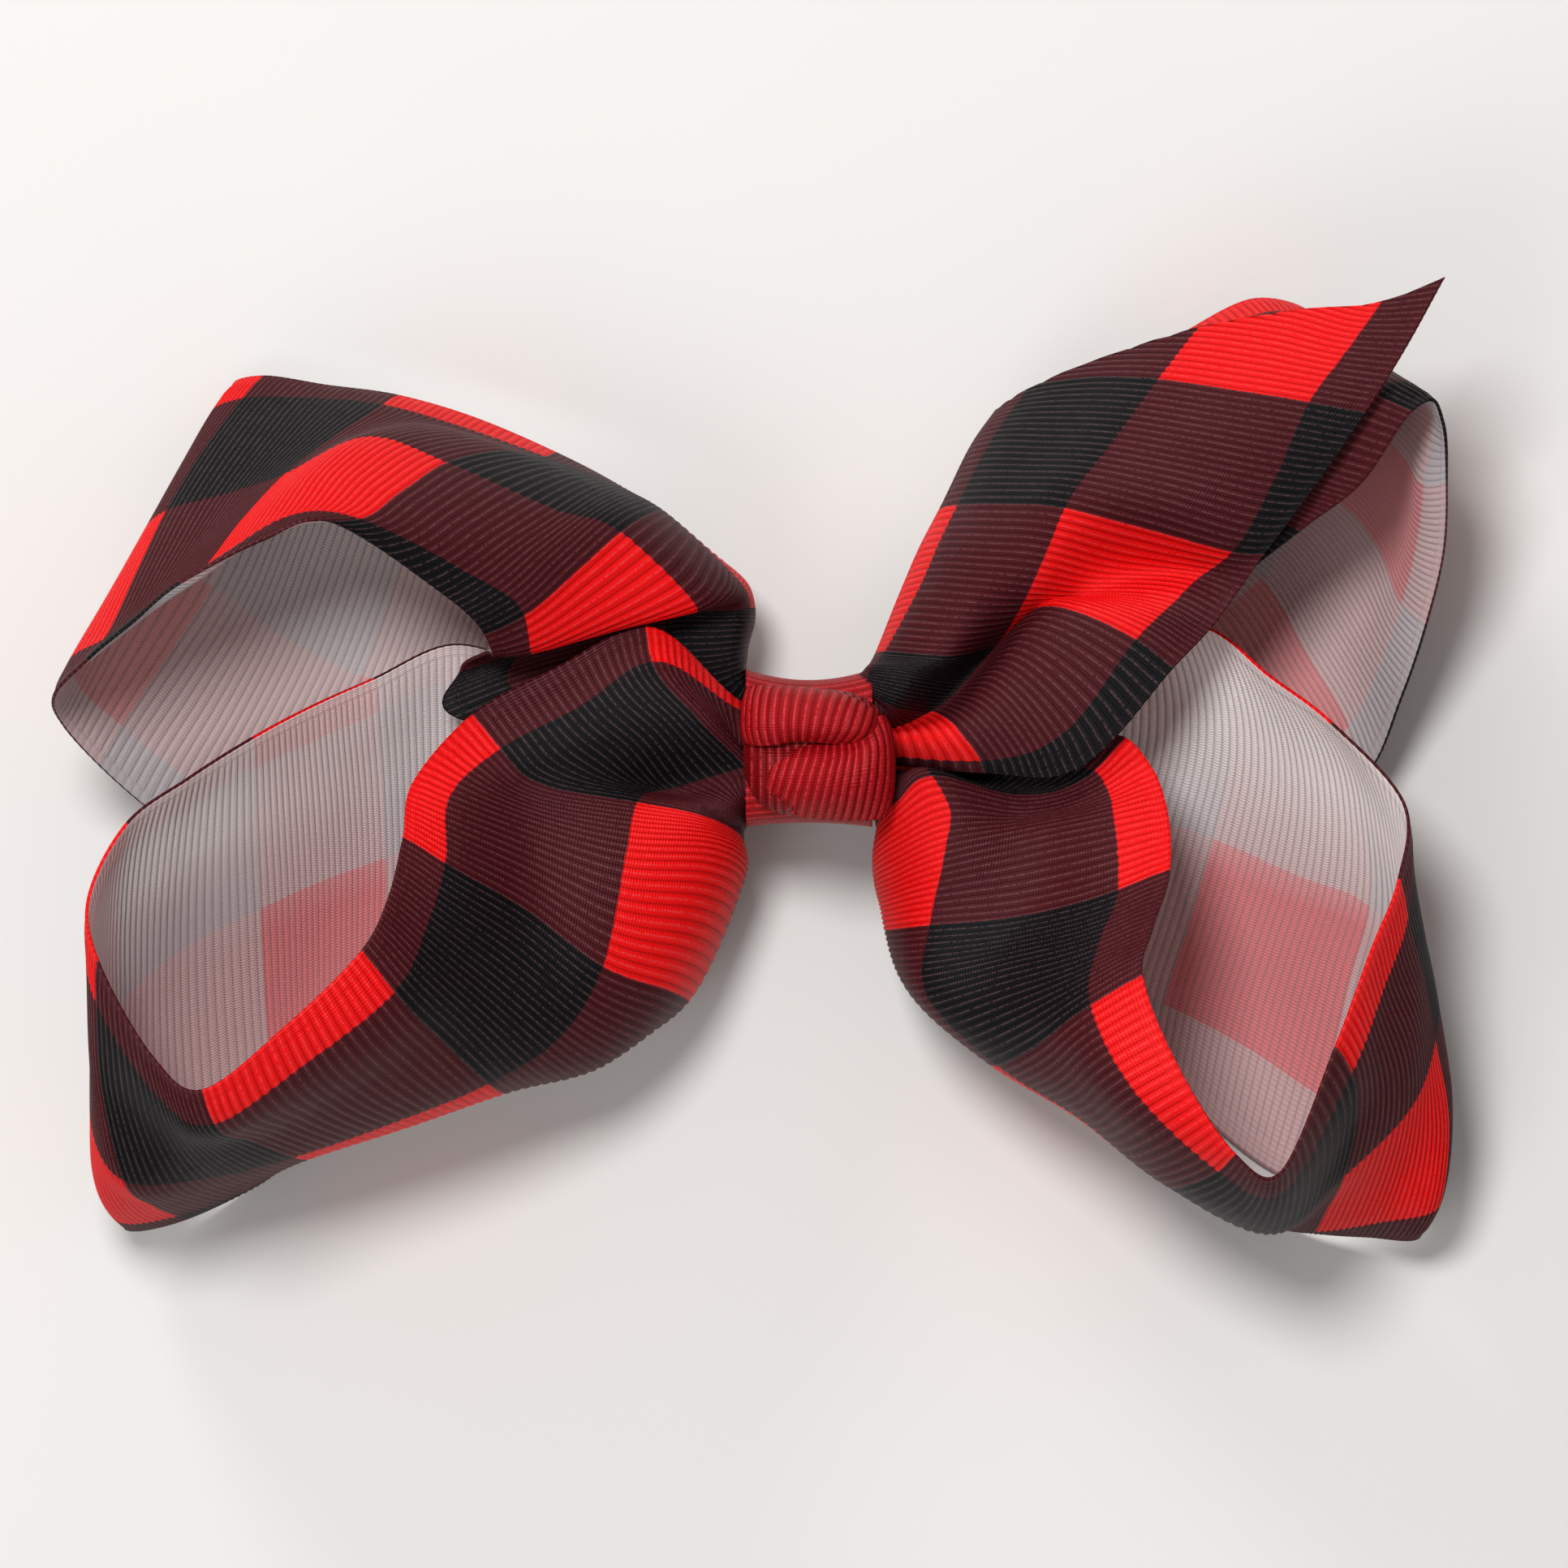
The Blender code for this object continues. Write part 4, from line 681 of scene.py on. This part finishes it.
def makeRibbonPieces():
    printed = makePrintedFace()
    across = columnPlaces()
    step = ribbonCloth["ribPitch"] / ribbon["ribSteps"]
    for name, piece in ribbonPieces.items():
        rows, run = carriedUnderKnot(piece["ribs"], piece["bothEnds"])
        # places along are counted from a red row, so the ribs and the print keep in step
        shift = 20 * ribbon["check"] - piece["redStart"]
        low = -run + shift
        high = piece["length"] + (run if piece["bothEnds"] else 0.0) + shift
        first = math.ceil(low / step)
        along = np.arange(first, math.floor(high / step) + 1) * step
        grid = netSurface(rows, ribLines, along - shift, across)
        grid[:, :, 2] -= tableDrop
        cutPlace = None
        if "cut" in piece:
            start, end = piece["cut"]
            cutPlace = start + (end - start) * across / across[-1] + shift
            for j, place in enumerate(cutPlace):
                last = min(int(np.searchsorted(along, place)), len(along) - 1)
                end = netSurface(rows, ribLines, np.array([place - shift]), across)[0, j]
                grid[last, j] = end - np.array((0.0, 0.0, tableDrop))
        thing = addShell(name, grid, along, across, ribbonCloth, 0.0, cutPlace, piece["printSide"])
        for finish in (printed, makePaleBack(piece["showThrough"]), printed):
            thing.data.materials.append(finish)
        standIn(thing, piece["node"])


# The knot: its passes lie over a core that fills the space between them
knot = {
    "red": (0.36, 0.001, 0.004),
    # painted shade: a darker copy of the knot's red, for the core between and beside the passes
    "paintedShadeRed": (0.20, 0.001, 0.003),
    # painted highlight: a lighter red laid along the rib tops
    "crown": (0.78, 0.08, 0.09),
    # painted shade: a dark red laid into the valleys between ribs
    "furrowPaintedShade": (0.05, 0.001, 0.003),
    "grain": 2200.0,
    "crownHighlightEdge": (0.9, 0.12),
    "crownHighlightBreaks": (0.45, 0.25),
    "crownHighlightShare": 0.42,
    "furrowShadeEdge": (0.2, 0.4),
    "furrowShadeShare": 0.45,
    "fleckShare": 0.2,
    "roughness": (0.42, 0.2),
    "gloss": 0.18,
    "passWidth": 9.5,
    "passColumns": (0.0, 0.15, 0.4, 0.8, 1.3, *np.linspace(2.0, 7.5, 14), 8.2, 8.7, 9.1, 9.35, 9.5),
    "ribSteps": 6,
    "mapShift": 10.0,
    "core": {"halfWidth": 8.6, "halfHeight": 7.5, "rise": 6.0, "fullness": 0.42, "squareness": 2.7,
             "rings": 40, "around": 120, "right": 0.15, "up": 0.2, "foot": 0.4, "mapShift": 50,
             "grooveAt": 1.2, "grooveWidth": 1.3, "grooveDepth": 1.2, "ribHeight": 0.10, "ribFade": 3},
    # ribs of each pass: place along it, then points from one edge to the other
    "passes": {
        "upperPass": (
            (0.0, ((-8.3, 1.5, 2.5), (-8.6, 3.0, 2.8), (-8.6, 4.7, 2.8),
                   (-8.4, 6.3, 2.2), (-8.0, 7.8, 0.8))),
            (2.2, ((-7.0, 1.2, 5.0), (-7.4, 3.0, 5.6), (-7.4, 4.8, 5.4),
                   (-7.3, 6.5, 4.2), (-7.0, 8.0, 2.0))),
            (4.8, ((-5.0, 1.3, 6.2), (-5.2, 3.0, 7.4), (-5.2, 5.0, 7.2),
                   (-5.0, 6.8, 5.4), (-4.6, 8.0, 2.8))),
            (7.7, ((-2.2, 1.8, 6.4), (-2.2, 3.2, 8.0), (-2.0, 5.0, 7.8),
                   (-1.6, 6.8, 6.0), (-1.2, 7.8, 3.0))),
            (10.6, ((0.5, 1.6, 6.2), (1.0, 3.0, 8.0), (1.5, 4.8, 7.9),
                   (2.0, 6.3, 6.4), (2.4, 7.2, 3.6))),
            (13.2, ((2.5, 1.4, 5.8), (3.6, 2.8, 7.7), (4.2, 4.3, 7.6),
                   (4.6, 5.5, 6.4), (4.9, 6.3, 4.4))),
            (15.2, ((4.0, 1.2, 5.2), (5.4, 2.4, 6.6), (6.1, 3.7, 6.6),
                   (6.4, 4.7, 5.6), (6.5, 5.4, 4.2))),
            (16.6, ((4.6, 0.8, 4.0), (6.0, 1.8, 5.0), (6.8, 3.2, 5.0),
                   (7.0, 4.2, 4.2), (7.0, 5.0, 3.0))),
        ),
        "lowerPass": (
            (0.0, ((8.6, 3.6, 1.4), (9.0, 1.0, 1.4), (9.1, -1.8, 1.4),
                   (8.9, -4.5, 1.2), (8.3, -7.0, 0.8))),
            (2.6, ((7.6, 4.6, 4.0), (8.3, 1.6, 4.6), (8.5, -1.5, 4.6),
                   (8.2, -4.5, 3.8), (7.5, -7.4, 1.4))),
            (5.0, ((6.0, 3.4, 5.0), (6.7, 1.2, 6.4), (6.6, -1.7, 6.8),
                   (6.2, -4.6, 5.4), (5.6, -7.5, 1.8))),
            (7.9, ((4.2, 1.8, 5.2), (4.4, 0.0, 6.8), (3.9, -2.2, 7.5),
                   (3.4, -4.8, 6.2), (2.8, -7.5, 2.2))),
            (10.8, ((2.0, 1.3, 5.2), (1.8, -0.6, 7.0), (1.2, -2.7, 7.5),
                   (0.6, -5.0, 6.0), (0.0, -7.3, 2.4))),
            (13.5, ((-0.4, 1.2, 5.0), (-0.9, -0.7, 6.7), (-1.6, -2.8, 6.9),
                   (-2.2, -4.9, 5.5), (-2.6, -6.8, 2.6))),
            (15.8, ((-2.6, 0.7, 4.8), (-3.3, -0.9, 6.1), (-3.9, -2.7, 6.1),
                   (-4.4, -4.3, 4.9), (-4.7, -5.6, 2.9))),
            (17.6, ((-4.4, -0.2, 4.4), (-4.9, -1.3, 5.2), (-5.4, -2.6, 5.0),
                   (-5.8, -3.7, 4.2), (-6.0, -4.6, 3.0))),
            (18.6, ((-5.3, -1.2, 3.8), (-5.7, -2.0, 4.0), (-6.1, -2.9, 3.8),
                   (-6.4, -3.7, 3.2), (-6.5, -4.3, 2.4))),
        ),
    },
}


def makeKnotCloth(name, body):
    finish = Finish(name)
    along, across = finish.mapped()
    crown = finish.ribCrown(along, knotCloth["ribPitch"])
    fleck = finish.noise(knot["grain"])
    # painted highlight: a broken line of lighter red along the top of each rib
    threadReliefAndPaintedHighlight = crown.past(*knot["crownHighlightEdge"]) * fleck.past(*knot["crownHighlightBreaks"]) * knot["crownHighlightShare"]
    colour = finish.blend(threadReliefAndPaintedHighlight, body, knot["crown"])
    # painted shade: the colour darkens in the valleys between ribs
    paintedValleyShade = (1 - crown.past(*knot["furrowShadeEdge"])) * knot["furrowShadeShare"]
    colour = finish.blend(paintedValleyShade, colour, knot["furrowPaintedShade"])
    height = weaveHeight(along, across, 1.0, knotCloth["ribPitch"]) + fleck * knot["fleckShare"]
    least, more = knot["roughness"]
    rough = least + fleck * more
    return finish.surface({"Base Color": colour, "Roughness": rough, "Normal": finish.bump(height)},
                          {"Specular IOR Level": knot["gloss"]})


def roundedReach(angle, power):
    # how far a rounded square of half width 1 reaches at an angle
    return (abs(math.cos(angle)) ** power + abs(math.sin(angle)) ** power) ** (-1 / power)


def makeKnotCore(name, base, cloth):
    # the turned ribbon inside and at the sides of the knot
    core = knot["core"]
    power = core["squareness"]
    halfX, halfY = core["halfWidth"], core["halfHeight"]
    rings, around = core["rings"], core["around"]
    vertices = []
    for ring in range(rings + 1):
        share = math.sin(ring / rings * math.pi / 2)
        for k in range(around):
            angle = 2 * math.pi * k / around
            reach = roundedReach(angle, power)
            x = share * reach * math.cos(angle) * halfX
            y = share * reach * math.sin(angle) * halfY
            inset = max(0.0, 1 - abs(x / halfX) ** power - abs(y / halfY) ** power)
            rise = core["rise"] * inset ** core["fullness"]
            groove = math.exp(-((y - core["grooveAt"]) / core["grooveWidth"]) ** 2)
            rise -= core["grooveDepth"] * groove * inset
            rib = abs(math.sin(math.pi * x / knotCloth["ribPitch"]))
            rise += core["ribHeight"] * rib * min(1.0, inset * core["ribFade"])
            vertices.append((x + core["right"], y + core["up"], base + core["foot"] + rise))
    faces = []
    for ring in range(rings):
        for k in range(around):
            n = (k + 1) % around
            a = ring * around
            faces.append((a + k, a + around + k, a + around + n, a + n))
    faces.append([rings * around + k for k in range(around)][::-1])
    mesh = bpy.data.meshes.new(name)
    mesh.from_pydata([tuple(c * mm for c in v) for v in vertices], [], faces)
    mapCorners(mesh, (np.array(vertices)[:, :2] + core["mapShift"]) * mm)
    mesh.polygons[-1].use_smooth = False
    return addPiece(name, mesh, cloth)


def makeKnot():
    cloth = makeKnotCloth("deepRedGrosgrain", knot["red"])
    # painted shade: the core gets the darker copy of the red
    paintedShadeCloth = makeKnotCloth("deepRedPaintedShade", knot["paintedShadeRed"])
    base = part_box("centre_knot")[0].z / mm
    standIn(makeKnotCore("knotCore", base, paintedShadeCloth), "centre_knot")
    across = np.array(knot["passColumns"])
    step = knotCloth["ribPitch"] / knot["ribSteps"]
    for name, ribs in knot["passes"].items():
        rows = [((place, place), [(x, y, z + base) for x, y, z in points]) for place, points in ribs]
        lines = np.linspace(0.0, knot["passWidth"], len(ribs[0][1]))
        along = np.arange(0, int(ribs[-1][0] / step) + 1) * step
        grid = netSurface(rows, lines, along, across)
        thing = addShell(name, grid, along, across, knotCloth, knot["mapShift"])
        for _ in range(3):
            thing.data.materials.append(cloth)
        standIn(thing, "centre_knot")
    print("knot: core and", len(knot["passes"]), "passes")
    return cloth


# The band around the gathered loops, behind the knot
band = {"left": -8.2, "right": 6.7, "wall": 0.6, "top": 8.8, "bottom": -7.9, "topFlare": 1.3,
        "bottomFlare": 0.5, "squareness": 4.0, "ribHeight": 0.07, "mapRadius": 11.0, "mapShift": 30,
        "columns": 40, "around": 360}


def makeBand(cloth):
    low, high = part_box("centre_band")
    bottom, top = band["bottom"], band["top"]
    back, front = low.z / mm, high.z / mm
    columns, around = band["columns"], band["around"]
    vertices = []
    places = []
    for layer in range(2):
        for i in range(columns + 1):
            share = i / columns
            x = band["left"] + (band["right"] - band["left"]) * share
            place = 2 * share - 1
            over = band["topFlare"] * place * place
            below = band["bottomFlare"] * place * place
            for k in range(around):
                angle = 2 * math.pi * k / around
                flare = over if math.cos(angle) > 0 else below
                halfY = (top - bottom) / 2 + flare - layer * band["wall"]
                halfZ = (front - back) / 2 - layer * band["wall"]
                reach = roundedReach(angle, band["squareness"])
                length = angle * band["mapRadius"]
                rib = 0.0
                if layer == 0:
                    rib = band["ribHeight"] * abs(math.sin(math.pi * length / knotCloth["ribPitch"]))
                y = (top + bottom) / 2 + (halfY + rib) * reach * math.cos(angle)
                z = (front + back) / 2 + (halfZ + rib) * reach * math.sin(angle)
                vertices.append((x, y, z))
                places.append((length, x + band["mapShift"]))
    faces = []
    stride = (columns + 1) * around
    for i in range(columns):
        for k in range(around):
            n = (k + 1) % around
            a = i * around
            face = (a + k, a + around + k, a + around + n, a + n)
            faces.append(face)
            faces.append(tuple(stride + corner for corner in reversed(face)))
    for i, turned in ((0, False), (columns, True)):
        for k in range(around):
            n = (k + 1) % around
            a = i * around
            face = (a + k, a + n, stride + a + n, stride + a + k)
            faces.append(face[::-1] if turned else face)
    mesh = bpy.data.meshes.new("knotBand")
    mesh.from_pydata([tuple(c * mm for c in v) for v in vertices], [], faces)
    mapCorners(mesh, np.array(places) * mm)
    standIn(addPiece("knotBand", mesh, cloth), "centre_band")
    print("band: made")


clipMetal = {"dark": (0.50, 0.50, 0.51), "light": (0.64, 0.64, 0.65), "grain": 700.0, "grainDepth": 0.00004,
             "grainStrength": 0.4, "smears": 260.0, "roughness": (0.24, 0.18)}


def makeClipMetal():
    finish = Finish("nickelPlate")
    fine = finish.noise(clipMetal["grain"], 4.0)
    colour = finish.blend(fine, clipMetal["dark"], clipMetal["light"])
    least, more = clipMetal["roughness"]
    rough = least + finish.noise(clipMetal["smears"], 3.0) * more
    relief = finish.bump(fine, clipMetal["grainDepth"], clipMetal["grainStrength"])
    return finish.surface({"Base Color": colour, "Roughness": rough, "Normal": relief}, {"Metallic": 1.0})


def dressClip():
    metal = makeClipMetal()
    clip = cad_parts["hair_clip"]
    clip.data.materials.clear()
    clip.data.materials.append(metal)
    print("clip: dressed")


studio = {
    "tableColour": (0.80, 0.785, 0.765),
    "tableSize": 3.0,
    "tableGrain": 30.0,
    "tableShade": 0.98,
    "tableRoughness": 0.85,
    "tableGloss": 0.2,
    "roomColour": (1.0, 0.99, 0.98, 1.0),
    "roomLight": 0.31,
    # place, size and power of each lamp
    "lamps": {
        "overheadLamp": ((-0.22, 0.38, 1.3), 0.34, 12.4),
        "frontLamp": ((-0.45, -0.5, 0.95), 0.6, 2.0),
        "sideLamp": ((-0.5, 0.85, 0.5), 0.3, 2.6),
    },
    "lampTarget": (0, 0, 0.02),
    "cameraHeight": 2.2,
    "sensor": 36.0,
    "viewWidth": 0.184,
    "viewPlane": 0.03,
    "viewCentre": (-0.0037, -0.0034),
}


def makeTable():
    half = studio["tableSize"] / 2
    mesh = bpy.data.meshes.new("paleTable")
    corners = [(-half, -half, 0), (half, -half, 0), (half, half, 0), (-half, half, 0)]
    mesh.from_pydata(corners, [], [(0, 1, 2, 3)])
    finish = Finish("paleTableTop")
    grain = finish.noise(studio["tableGrain"], 3.0)
    shade = tuple(c * studio["tableShade"] for c in studio["tableColour"])
    colour = finish.blend(grain, studio["tableColour"], shade)
    paint = finish.surface({"Base Color": colour}, {"Roughness": studio["tableRoughness"],
                                                   "Specular IOR Level": studio["tableGloss"]})
    addPiece("paleTable", mesh, paint)


def addLamp(name, place, size, power):
    lamp = bpy.data.lights.new(name, "AREA")
    lamp.shape = "DISK"
    lamp.size = size
    lamp.energy = power
    holder = addPiece(name, lamp)
    holder.location = place
    aim = Vector(studio["lampTarget"]) - Vector(place)
    holder.rotation_euler = aim.to_track_quat("-Z", "Y").to_euler()


def makeStudio():
    makeTable()
    world = bpy.data.worlds.new("softRoom")
    world.use_nodes = True
    room = world.node_tree.nodes["Background"]
    room.inputs[0].default_value = studio["roomColour"]
    room.inputs[1].default_value = studio["roomLight"]
    bpy.context.scene.world = world
    for name, (place, size, power) in studio["lamps"].items():
        addLamp(name, place, size, power)
    camera = bpy.data.cameras.new("topCamera")
    camera.sensor_width = studio["sensor"]
    camera.lens = studio["sensor"] * (studio["cameraHeight"] - studio["viewPlane"]) / studio["viewWidth"]
    camera.clip_end = 20.0
    holder = addPiece("topCamera", camera)
    holder.location = (*studio["viewCentre"], studio["cameraHeight"])
    bpy.context.scene.camera = holder
    bpy.context.scene.view_settings.view_transform = "Standard"
    print("studio: table, lamps and camera")


makeRibbonPieces()
redCloth = makeKnot()
makeBand(redCloth)
dressClip()
makeStudio()
